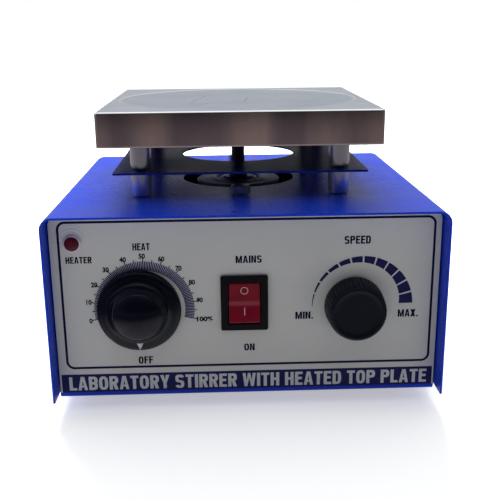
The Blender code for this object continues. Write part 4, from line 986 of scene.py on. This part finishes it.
def make_switch():
    x, z = SWITCH.x, SWITCH.z
    front, back = PANEL_Y - GAP - BEZEL_THICKNESS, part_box("switch_housing")[1].y - 0.008
    outline = rounded_rectangle(BEZEL_WIDTH, BEZEL_HEIGHT, 0.0011, (x, z), 5)
    housing = mesh_object("switch_bezel", solid(prism, outline, "Y", front, PANEL_Y - GAP), [bezel_black])
    outline = rounded_rectangle(BEZEL_WIDTH - 0.0038, BEZEL_HEIGHT - 0.0032, 0.0008, (x, z), 3)
    boolean(housing, solid(prism, outline, "Y", front + 0.0008, back), "UNION")
    outline = rounded_rectangle(ROCKER_WIDTH + 2 * GAP, 2 * (ROCKER_RADIUS + GAP), 0.0006, (x, z), 3)
    well_back = ROCKER_PIVOT_Y + ROCKER_RADIUS + 0.001
    boolean(housing, solid(prism, outline, "Y", front - 0.01, well_back))
    pivot = (x, ROCKER_PIVOT_Y, z)
    boolean(housing, solid(bore, 0.0015, ROCKER_WIDTH / 2 + 0.0013, pivot, RIGHT, 24))
    soften(housing, 0.0005, 3, 40)
    piece(housing, "case", "black_plastic", "switch_housing")
    blades = bmesh.new()
    for dx, dz in ((-0.005, -0.009), (0.005, -0.009), (-0.005, 0), (0.005, 0)):
        slab(blades, (x + dx, z + dz), (0.0004, 0.0031), back + 0.00005, back + 0.008)
    piece(soften(mesh_object("switch_blades", blades, [brass]), 0.0001), "case", "brass")


def rocker_face(side):
    """Crease and tip of one face in the rocker's level (back, up) plane; side is 1 above and -1 below."""
    slope, crease = math.tan(ROCKER_TILT), ROCKER_CREASE
    a, b, c = 1 + slope**2, 2 * crease * slope, crease**2 - ROCKER_RADIUS**2
    tip = (-b + math.sqrt(b * b - 4 * a * c)) / (2 * a)
    return Vector((-crease, 0)), Vector((-crease - slope * tip, side * tip))


def make_rocker():
    crease, low_tip = rocker_face(-1)
    start = math.atan2(-low_tip.y, -low_tip.x)
    lower = [(-ROCKER_RADIUS * math.cos(t), -ROCKER_RADIUS * math.sin(t))
             for t in [start + (math.radians(120) - start) * i / 24 for i in range(25)]]
    upper = [(u, -v) for u, v in reversed(lower)]
    reach, bow = 0.0016, 0.00018  # of the soft valley along the crease
    valley = []
    for t in [i / 4 for i in range(-4, 5)]:
        valley.append((crease.x - abs(t) * math.tan(ROCKER_TILT) * reach - bow * (1 - t * t), reach * t))
    shape = solid(prism, [*reversed(valley), *lower, *upper], "X", -ROCKER_WIDTH / 2, ROCKER_WIDTH / 2)
    rocker = mesh_object("rocker_cap", shape, [red_plastic])
    pins = bmesh.new()
    trunnion = ROCKER_WIDTH / 2 + 0.0010
    bore(pins, 0.0012, trunnion, (0, 0, 0), RIGHT, 24)
    boolean(rocker, pins, "UNION")
    place = Matrix.Rotation(-ROCKER_TILT, 4, "X")
    rocker.data.transform(place)
    soften(rocker, 0.00045, 3, 30)
    rocker.location = (SWITCH.x, ROCKER_PIVOT_Y, SWITCH.z)
    piece(rocker, "rocker", "red_plastic", "switch_rocker")

    def face_frame(side, along):
        """Rocker-space matrix whose X and Y lie in a face and whose Z points out of it."""
        crease_point, tip = rocker_face(side)
        spot = crease_point + (tip - crease_point) * along
        across = Vector((0, tip.x - crease_point.x, tip.y - crease_point.y)).normalized() * side
        outward = Vector((1, 0, 0)).cross(across)
        spin = Matrix((Vector((1, 0, 0)), across, outward)).transposed().to_4x4()
        return place @ Matrix.Translation((0, spot.x, spot.y)) @ spin

    inlaid, proud = -0.0001, 0.00006
    profile = [(0.00210, inlaid), (0.00210, proud), (0.00168, proud), (0.00168, inlaid)]
    ring = solid(turned, profile, steps=48, ring=True)
    bar = solid(prism, rounded_rectangle(0.0005, 0.0042, 0.0002, (0, 0), 3), "Z", inlaid, proud)
    for name, shape, side, along in (("rocker_mark_off", ring, 1, 0.62), ("rocker_mark_on", bar, -1, 0.46)):
        mark = smooth(mesh_object(name, shape, [mark_ink]))
        mark.data.transform(face_frame(side, along))
        mark.location = rocker.location
        piece(mark, "rocker", "red_plastic")


def make_lamp():
    flange = [(0.0034, 0.0012), (0.0038, 0.0014), (0.0043, 0.0013), (0.00465, 0.0010), (0.00475, 0.0006),
              (0.00475, GAP), (0.0038, GAP), (0.0038, -0.0060), (0.0034, -0.0060)]
    turned_piece("lamp_bezel", flange, LAMP, FORWARD, lamp_ring, "case", "plated_steel", ring=True, angle=50)
    turns = [math.radians(90 * i / 10) for i in range(10)]
    dome = [(0.0039 * math.cos(t), 0.0015 + 0.0014 * math.sin(t)) for t in turns]
    lens = [(0, -0.0040), (0.0031, -0.0040), (0.0031, 0.0015), *dome, (0, 0.0029)]
    turned_piece("lamp_dome", lens, LAMP, FORWARD, lens_red, "case", "lamp_red", "lamp_lens", angle=50)


# ---------------------------------------------------------------- back panel
def make_inlet():
    x, z, outer = INLET.x, INLET.z, BACK_Y + GAP
    shape = solid(prism, rounded_rectangle(0.0500, 0.0280, 0.0060, (x, z), 10), "Y", outer, outer + 0.0030)
    inlet = mesh_object("inlet_socket", shape, [bezel_black])
    body = bmesh.new()
    prism(body, rounded_rectangle(0.0275, 0.0200, 0.0018, (x, z), 4), "Y", BACK_Y - 0.0200, outer + 0.0020)
    boolean(inlet, body, "UNION")
    cutter = bmesh.new()
    wide, tall, cut = 0.0120, 0.0082, 0.0042
    key = [(-wide, -tall), (wide, -tall), (wide, cut), (tall, tall), (-tall, tall), (-wide, cut)]
    prism(cutter, [(x + u, z + v) for u, v in key], "Y", BACK_Y - 0.0160, outer + 0.0100)
    for word in ("left", "right"):
        screw = node_middle("inlet_screw_" + word)
        bore(cutter, 0.0019, 0.006, (screw.x, outer, screw.z), FORWARD, 24)
    boolean(inlet, cutter)
    soften(inlet, 0.0004, 3, 40)
    piece(inlet, "case", "black_plastic", "mains_inlet")
    pins = bmesh.new()
    for dx, dz in ((-0.0070, -0.0015), (0, 0.0025), (0.0070, -0.0015)):
        for near, far in ((0.0159, 0.0020), (0.0260, 0.02005)):
            slab(pins, (x + dx, z + dz), (0.0010, 0.0020), BACK_Y - near, BACK_Y - far)
    piece(soften(mesh_object("inlet_pins", pins, [brass]), 0.0004, 3), "case", "brass")


def make_fuse_holder():
    grips = 24
    profile = [(0, 0.0065), (0.0054, 0.0065), (0.0060, 0.0062), (0.0065, 0.0056), (0.0068, 0.0050),
               (0.0070, 0.0026), (0.0080, 0.0025), (0.0084, 0.0022), (0.0085, 0.0017), (0.0085, GAP),
               (0.0060, GAP), (0.0060, -0.0240), (0.0030, -0.0260), (0.0030, -0.0330), (0, -0.0330)]
    depth = {3: 0.03, 4: 0.05, 5: 0.05}

    def ripple(index, angle):
        return 1 - depth.get(index, 0) * (0.5 + 0.5 * math.cos(grips * angle))

    shape = solid(turned, profile, (0, 0, 0), UP, grips * 8, ripple=ripple)
    holder = mesh_object("fuse_cap", shape, [bezel_black])
    boolean(holder, solid(block, (-0.0045, -0.0006, 0.0052), (0.0045, 0.0006, 0.01)))
    holder.data.transform(Matrix.Translation(FUSE) @ UP.rotation_difference(-FORWARD).to_matrix().to_4x4())
    smooth(holder, 40)
    piece(holder, "case", "black_plastic", "fuse_holder")


# ---------------------------------------------------------------- facia graphics
PRINT_FRONT, PRINT_BACK = PANEL_Y - 0.00006, PANEL_Y + 0.00003


def tile(shape, outline):
    """One thin printed patch on the facia, from its (x, z) outline."""
    prism(shape, outline, "Y", PRINT_FRONT, PRINT_BACK)


def number(shape, words, centre, width=None):
    """Adds a dial number about a centre, in millimetres, to the shape."""
    height, slim, weight = 2.9, 0.92, 0.045
    curve = bpy.data.curves.new("words", "FONT")
    curve.body, curve.size, curve.offset, curve.extrude, curve.resolution_u = words, 1.0, weight, 0.5, 4
    helper = bpy.data.objects.new("words", curve)
    bpy.context.scene.collection.objects.link(helper)
    mesh = evaluated_mesh(helper)
    bpy.data.objects.remove(helper)
    xs, ys = [v.co.x for v in mesh.vertices], [v.co.y for v in mesh.vertices]
    wide, tall = max(xs) - min(xs), max(ys) - min(ys)
    width = width or height * wide / tall * slim
    for v in mesh.vertices:
        x = centre[0] + ((v.co.x - min(xs)) / wide - 0.5) * width
        z = centre[1] + ((v.co.y - min(ys)) / tall - 0.5) * height
        v.co = (x * MM, PRINT_FRONT if v.co.z > 0 else PRINT_BACK, z * MM)
    shape.from_mesh(mesh)
    bpy.data.meshes.remove(mesh)


def printed(name, shape, ink):
    obj = mesh_object(name, shape, [ink])
    piece(obj, "case", "facia_print")


def make_border():
    low, high, left, right, line = 25.7, 109.4, -99.8, 101.0, 1.30
    centre = ((left + right) / 2 * MM, (low + high) / 2 * MM)
    shape = bmesh.new()
    width, height, corner = (right - left) * MM, (high - low) * MM, 4.6 * MM
    outer = rounded_rectangle(width, height, corner, centre, 12)
    inner = rounded_rectangle(width - 2 * line * MM, height - 2 * line * MM, corner - line * MM, centre, 12)
    band(shape, outer, inner, PRINT_FRONT, PRINT_BACK)
    printed("print_border", shape, line_ink)


def make_heat_scale():
    """Percent scale: a ring of fine radial lines, with ticks and numbers outside."""
    centre, inner, outer, low_end, per_step = Vector((-55.6, 59.9)), 21.9, 27.0, 191.5, 20.36
    lines, ticks, numbers = bmesh.new(), bmesh.new(), bmesh.new()

    def ray(shape, angle, start, end, wide):
        along = Vector((math.cos(math.radians(angle)), math.sin(math.radians(angle))))
        side = Vector((-along.y, along.x)) * wide / 2
        corners = (centre + along * start - side, centre + along * end - side, centre + along * end + side,
                   centre + along * start + side)
        tile(shape, [tuple(c * MM) for c in corners])

    count = 100
    for i in range(count + 1):
        share = i / count
        angle = low_end - 10 * per_step * share
        ray(lines, angle, inner, outer, 0.62)
        if i % 5 == 0:
            ray(ticks, angle, outer - 0.2, outer + (2.2 if i % 10 == 0 else 1.2), 0.50)
    places = ((-84.8, 53.8), (-85.2, 64.5), (-81.8, 74.3), (-75.2, 82.6), (-66.0, 88.0), (-55.8, 89.8),
              (-45.6, 88.1), (-36.6, 82.7), (-29.7, 74.7), (-25.8, 64.5))
    for i, spot in enumerate(places):
        number(numbers, str(10 * i), spot)
    number(numbers, "100%", (-23.3, 53.6), 8.6)
    printed("print_heat_lines", lines, scale_ink)
    printed("print_heat_ticks", ticks, black_ink)
    printed("print_heat_numbers", numbers, black_ink)


def make_speed_scale():
    """Twelve blocks on a half circle that widen from the least speed to the most."""
    centre, outer, blocks, margin, steps = (62.5, 60.0), 27.5, 12, 1.0, 8
    shape = bmesh.new()
    for i in range(blocks):
        start = 180 - 180 / blocks * i - margin if i else 180 + margin
        end = 180 - 180 / blocks * (i + 1) + margin
        outline = arc(outer, start, end, steps, centre)
        for k in range(steps + 1):
            angle = end + (start - end) * k / steps
            share = max(0.0, (180 - angle) / 180)
            width = 0.35 + 7.25 * share**1.15
            outline += arc(outer - width, angle, angle, 1, centre)[:1]
        tile(shape, [(u * MM, v * MM) for u, v in outline])
    printed("print_speed_scale", shape, navy_ink)


STROKE, ARM = 0.205, 0.18  # stem and arm thickness of a capital one unit high
GLYPH_WIDTHS = {"I": 0.19, ".": 0.19, " ": 0.20, "M": 0.74, "W": 0.84, "A": 0.60, "O": 0.58, "L": 0.47,
                "E": 0.49, "F": 0.48, "T": 0.52, "Y": 0.60, "X": 0.60}
CAPITAL_WIDTH, LETTER_GAP = 0.56, 0.085


def glyph(letter_name):
    """Polygons of one condensed bold capital, one unit high; they may overlap."""
    w = GLYPH_WIDTHS.get(letter_name, CAPITAL_WIDTH)
    t, h = STROKE, ARM
    half = w / 2

    def bar(x0, y0, x1, y1):
        return [(x0, y0), (x1, y0), (x1, y1), (x0, y1)]

    def mirror(points):
        return [(w - x, y) for x, y in points]

    def bowl(centre, radii, start, end, steps=14):
        """Part of a squarish ring, angles in degrees."""
        outer, inner = [], []
        for i in range(steps + 1):
            angle = math.radians(start + (end - start) * i / steps)
            c, v = math.cos(angle), math.sin(angle)
            u = math.copysign(abs(c) ** 0.72, c)
            v = math.copysign(abs(v) ** 0.72, v)
            outer.append((centre[0] + radii[0] * u, centre[1] + radii[1] * v))
            inner.append((centre[0] + (radii[0] - t) * u, centre[1] + (radii[1] - h) * v))
        return outer + inner[::-1]

    def inner_edge(y):
        """Where the inside of the A's leg is at a height."""
        return 0.95 * t + (half - 0.95 * t) * y / 0.72

    stem = bar(0, 0, t, 1)
    arms = {
        "top": bar(t, 1 - h, w, 1),
        "middle": bar(t, 0.43, w * 0.92, 0.43 + h),
        "bottom": bar(t, 0, w, h),
    }
    upper = [bar(t, 1 - h, half, 1), bar(t, 0.42, half, 0.42 + h), bowl((half, 0.71), (half, 0.29), -90, 90)]
    leg = [(0, 0), (0.95 * t, 0), (half, 0.72), (half, 1), (half - 0.55 * t, 1)]
    low, high = inner_edge(0.21), inner_edge(0.35)
    crossbar = [(low, 0.21), (w - low, 0.21), (w - high, 0.35), (high, 0.35)]
    peak = [(t, 1), (t, 0.58), (half - 0.42 * t, 0), (half, 0), (half, 0.40)]
    branch = [(0, 1), (1.15 * t, 1), (half, 0.58), (half, 0.34), (half - 0.5 * t, 0.40)]
    slope = [(0, 1), (1.2 * t, 1), (w, 0), (w - 1.2 * t, 0)]
    sweep = [(0, 1), (0.95 * t, 1), (0.31 * w, 0.34), (0.36 * w, 0), (0.36 * w - 0.9 * t, 0)]
    inside = [(0.36 * w - 0.55 * t, 0), (0.36 * w, 0), (half, 0.66), (half, 1), (half - 0.40 * t, 1)]
    shapes = {
        "A": [leg, mirror(leg), crossbar],
        "B": [stem, *upper, bar(t, 0, half, h), bowl((half, 0.295), (half, 0.295), -90, 90)],
        "D": [stem, bar(t, 1 - h, half, 1), bar(t, 0, half, h), bowl((half, 0.5), (half, 0.5), -90, 90)],
        "E": [stem, *arms.values()],
        "F": [stem, arms["top"], arms["middle"]],
        "H": [stem, bar(w - t, 0, w, 1), bar(t, 0.42, w - t, 0.42 + h)],
        "I": [stem],
        "L": [stem, arms["bottom"]],
        "M": [stem, mirror(stem), peak, mirror(peak)],
        "N": [stem, mirror(stem), [(t, 1), (t, 0.62), (w - t, 0), (w - t, 0.38)]],
        "O": [bowl((half, 0.5), (half, 0.5), 0, 180, 24), bowl((half, 0.5), (half, 0.5), 180, 360, 24)],
        "P": [stem, *upper],
        "R": [stem, *upper, [(0.40 * w, 0.42), (0.76 * w, 0.46), (w, 0), (w - 1.1 * t, 0)]],
        "S": [bowl((half, 0.71), (half, 0.29), 15, 270, 20), bowl((half, 0.29), (half, 0.29), 90, -165, 20)],
        "T": [bar(0, 1 - h, w, 1), bar(half - t / 2, 0, half + t / 2, 1 - h)],
        "W": [sweep, mirror(sweep), inside, mirror(inside)],
        "X": [slope, mirror(slope)],
        "Y": [branch, mirror(branch), bar(half - t / 2, 0, half + t / 2, 0.40)],
        ".": [bar(0, 0, t, h)],
    }
    return shapes.get(letter_name, []), w


def capitals(shape, words, x_span, z_span, proud=0.0):
    """Bold condensed capitals fitted to a span in x and z, in millimetres, on the facia."""
    placed, pen = [], 0.0
    for letter_name in words:
        polygons, wide = glyph(letter_name)
        placed.extend([[(pen + x, y) for x, y in polygon] for polygon in polygons])
        pen += wide + LETTER_GAP
    pen -= LETTER_GAP
    for index, polygon in enumerate(placed):
        outline = []
        for x, y in polygon:
            across = x_span[0] + (x_span[1] - x_span[0]) * x / pen
            outline.append((across * MM, (z_span[0] + (z_span[1] - z_span[0]) * y) * MM))
        step = (index % 7) * 0.0000015  # keeps overlapping strokes out of one plane
        prism(shape, outline, "Y", PRINT_FRONT - proud - step, PRINT_BACK)


def make_lettering():
    navy, black = bmesh.new(), bmesh.new()
    words = (
        ("HEATER", (-96.0, -82.3), (86.4, 90.0), black),
        ("HEAT", (-60.5, -51.4), (93.0, 96.9), navy),
        ("OFF", (-60.2, -52.3), (28.1, 32.4), black),
        ("MAINS", (-6.1, 7.8), (84.9, 89.0), navy),
        ("ON", (-2.1, 3.7), (34.5, 38.6), navy),
        ("SPEED", (52.0, 66.1), (94.4, 98.8), navy),
        ("MIN.", (26.0, 35.7), (52.4, 56.6), navy),
        ("MAX.", (82.3, 93.3), (52.4, 56.7), navy),
    )
    for text, x_span, z_span, shape in words:
        capitals(shape, text, x_span, z_span)
    printed("print_words_navy", navy, line_ink)
    printed("print_words_black", black, black_ink)
    shape = bmesh.new()
    low, high = FACIA_LOW.z + 0.00005, 22.5 * MM
    tile(shape, [(-0.1030, low), (0.1030, low), (0.1030, high), (-0.1030, high)])
    printed("print_banner", shape, navy_ink)
    shape = bmesh.new()
    capitals(shape, "LABORATORY STIRRER WITH HEATED TOP PLATE", (-99.0, 100.0), (13.0, 21.0), 0.00005)
    printed("print_banner_words", shape, pale_ink)


# ---------------------------------------------------------------- inner nodes that keep their own shape
def finish_cad_nodes():
    finishes = {
        "heater_element": mica, "heater_insulation": mineral, "heater_backing_plate": dark_steel,
        "heat_regulator": bezel_black, "regulator_spindle": brass, "regulator_nut": brass,
        "speed_potentiometer": dark_steel,
        "potentiometer_shaft": aluminium, "potentiometer_nut": zinc, "lamp_body": zinc, "motor": zinc,
        "motor_shaft": zinc, "magnet_holder": aluminium, "drive_magnet_north": ferrite,
        "drive_magnet_south": ferrite,
        "speed_control_board": board_green, "triac_heatsink": aluminium, "terminal_block": porcelain,
        "heater_lead": sleeving, "motor_lead": knob_black, "lead_grommet": rubber,
    }
    for name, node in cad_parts.items():
        finish = finishes.get(name) or (zinc if name.startswith("stack_bolt") else None)
        if finish is None:
            continue
        if not node.material_slots:
            node.data.materials.append(finish)
        for slot in node.material_slots:
            slot.material = finish
        node.data.shade_smooth()
        node.data.set_sharp_from_angle(angle=math.radians(32))


# ---------------------------------------------------------------- stage, lights and camera
def make_stage():
    shape = bmesh.new()
    turned(shape, [(6.0, -0.02), (6.0, 0.0)], (0, 0, 0), UP, 96)
    floor = mesh_object("studio_floor", shape)
    paper = Finish("pale_floor", {"Roughness": 0.9, "Specular IOR Level": 0.1})
    path = paper.add("LightPath").outputs
    tone = paper.mix(paper.noise(0.6, 2), (0.90, 0.90, 0.90), (0.93, 0.93, 0.93))
    reach = paper.distance((0, 0, 0))
    mirrored = paper.mix(paper.remap(reach, 0.15, 0.27), (0.75, 0.73, 0.72), (0.10, 0.09, 0.09))
    mirrored = paper.mix(paper.remap(reach, 0.45, 0.80), mirrored, (0.27, 0.235, 0.225))
    paper.feed("Base Color", paper.mix(path["Is Glossy Ray"], tone, mirrored))
    paper.feed("Emission Color", (1.0, 1.0, 1.0))
    seen = paper.times(path["Is Camera Ray"], 0.45)
    near = paper.times(path["Is Glossy Ray"], paper.remap(reach, 0.15, 0.27, 0.9, 0.0))
    paper.feed("Emission Strength", paper.sum("ADD", seen, near))
    floor.data.materials.append(paper.material)


def make_world():
    """White backdrop to the eye; the light itself comes mostly from above and behind."""
    world = bpy.data.worlds.new("studio")
    world.use_nodes = True
    tree = world.node_tree
    tree.nodes.clear()

    def add(kind, inputs=(), **settings):
        return add_node(tree, kind, inputs, **settings)

    def ramp(value, low, high, top, bottom=0.0):
        inputs = {"Value": value, "From Min": low, "From Max": high, "To Min": bottom, "To Max": top}
        return add("MapRange", inputs).outputs[0]

    def both(kind, first, second):
        return add("Math", {0: first, 1: second}, operation=kind).outputs[0]

    axes = add("SeparateXYZ", {0: add("TexCoord").outputs["Generated"]}).outputs
    behind = both("ADD", both("MULTIPLY", axes["Z"], 0.55), both("MULTIPLY", axes["Y"], 0.45))
    level = ramp(behind, -0.20, 0.70, 0.78, 0.03)
    zenith = ramp(axes["Z"], 0.72, 0.95, 0.55)
    left = ramp(axes["X"], -0.5, -1.0, 0.20)
    total = both("ADD", level, both("ADD", zenith, left))
    soft = add("Background", {"Color": (0.96, 0.98, 1.0, 1), "Strength": total})
    white = add("Background", {"Color": (1, 1, 1, 1), "Strength": 1.0})
    seen = add("LightPath").outputs["Is Camera Ray"]
    chosen = add("MixShader", {0: seen, 1: soft.outputs[0], 2: white.outputs[0]})
    tree.links.new(chosen.outputs[0], add("OutputWorld").inputs["Surface"])
    bpy.context.scene.world = world


def soft_box(name, place, target, size, power, tint=(1, 1, 1), mirrored=True):
    light = bpy.data.lights.new(name, "AREA")
    light.shape, light.size, light.size_y = "RECTANGLE", size[0], size[1]
    light.energy, light.color = power, tint
    obj = bpy.data.objects.new(name, light)
    bpy.context.scene.collection.objects.link(obj)
    obj.location = place
    obj.rotation_euler = (Vector(target) - Vector(place)).to_track_quat("-Z", "Y").to_euler()
    obj.visible_glossy = mirrored


def make_lights():
    middle = (0, 0, 0.08)
    sky = (0.97, 0.98, 1.0)
    soft_box("window_behind", (-0.15, 1.00, 1.20), middle, (1.0, 0.5), 34.0, sky, mirrored=False)
    soft_box("window_left", (-1.20, -0.10, 0.80), middle, (0.5, 0.5), 0.9, (0.86, 0.92, 1.0))
    soft_box("front_fill", (0.20, -1.60, 0.70), middle, (1.2, 0.6), 0.10, mirrored=False)


def make_camera():
    yaw, pitch, roll = math.radians(2.06), math.radians(15.99), math.radians(0.52)
    place = Vector((-0.0128, -0.4830, 0.2069))
    ahead = Vector((math.sin(yaw) * math.cos(pitch), math.cos(yaw) * math.cos(pitch), -math.sin(pitch)))
    level = Vector((math.cos(yaw), -math.sin(yaw), 0))
    down = ahead.cross(level)
    right = math.cos(roll) * level + math.sin(roll) * down
    up = math.sin(roll) * level - math.cos(roll) * down
    data = bpy.data.cameras.new("photo_view")
    data.lens, data.sensor_width = 56.5, 36.0
    data.clip_start, data.clip_end = 0.01, 50.0
    camera = bpy.data.objects.new("photo_view", data)
    bpy.context.scene.collection.objects.link(camera)
    turn = Matrix((right, up, -ahead)).transposed().to_4x4()
    camera.matrix_world = Matrix.Translation(place) @ turn
    bpy.context.scene.camera = camera


def main():
    make_camera()
    make_world()
    make_lights()
    make_stage()
    make_cover()
    make_chassis()
    make_facia()
    make_feet()
    make_screws()
    make_plate()
    make_shield()
    make_pillars()
    make_hex_bolts()
    make_bracket()
    make_drive_line()
    make_heat_knob()
    make_speed_knob()
    make_switch()
    make_rocker()
    make_lamp()
    make_inlet()
    make_fuse_holder()
    make_border()
    make_heat_scale()
    make_speed_scale()
    make_lettering()
    finish_cad_nodes()
    bpy.context.scene.view_settings.view_transform = "Standard"


main()
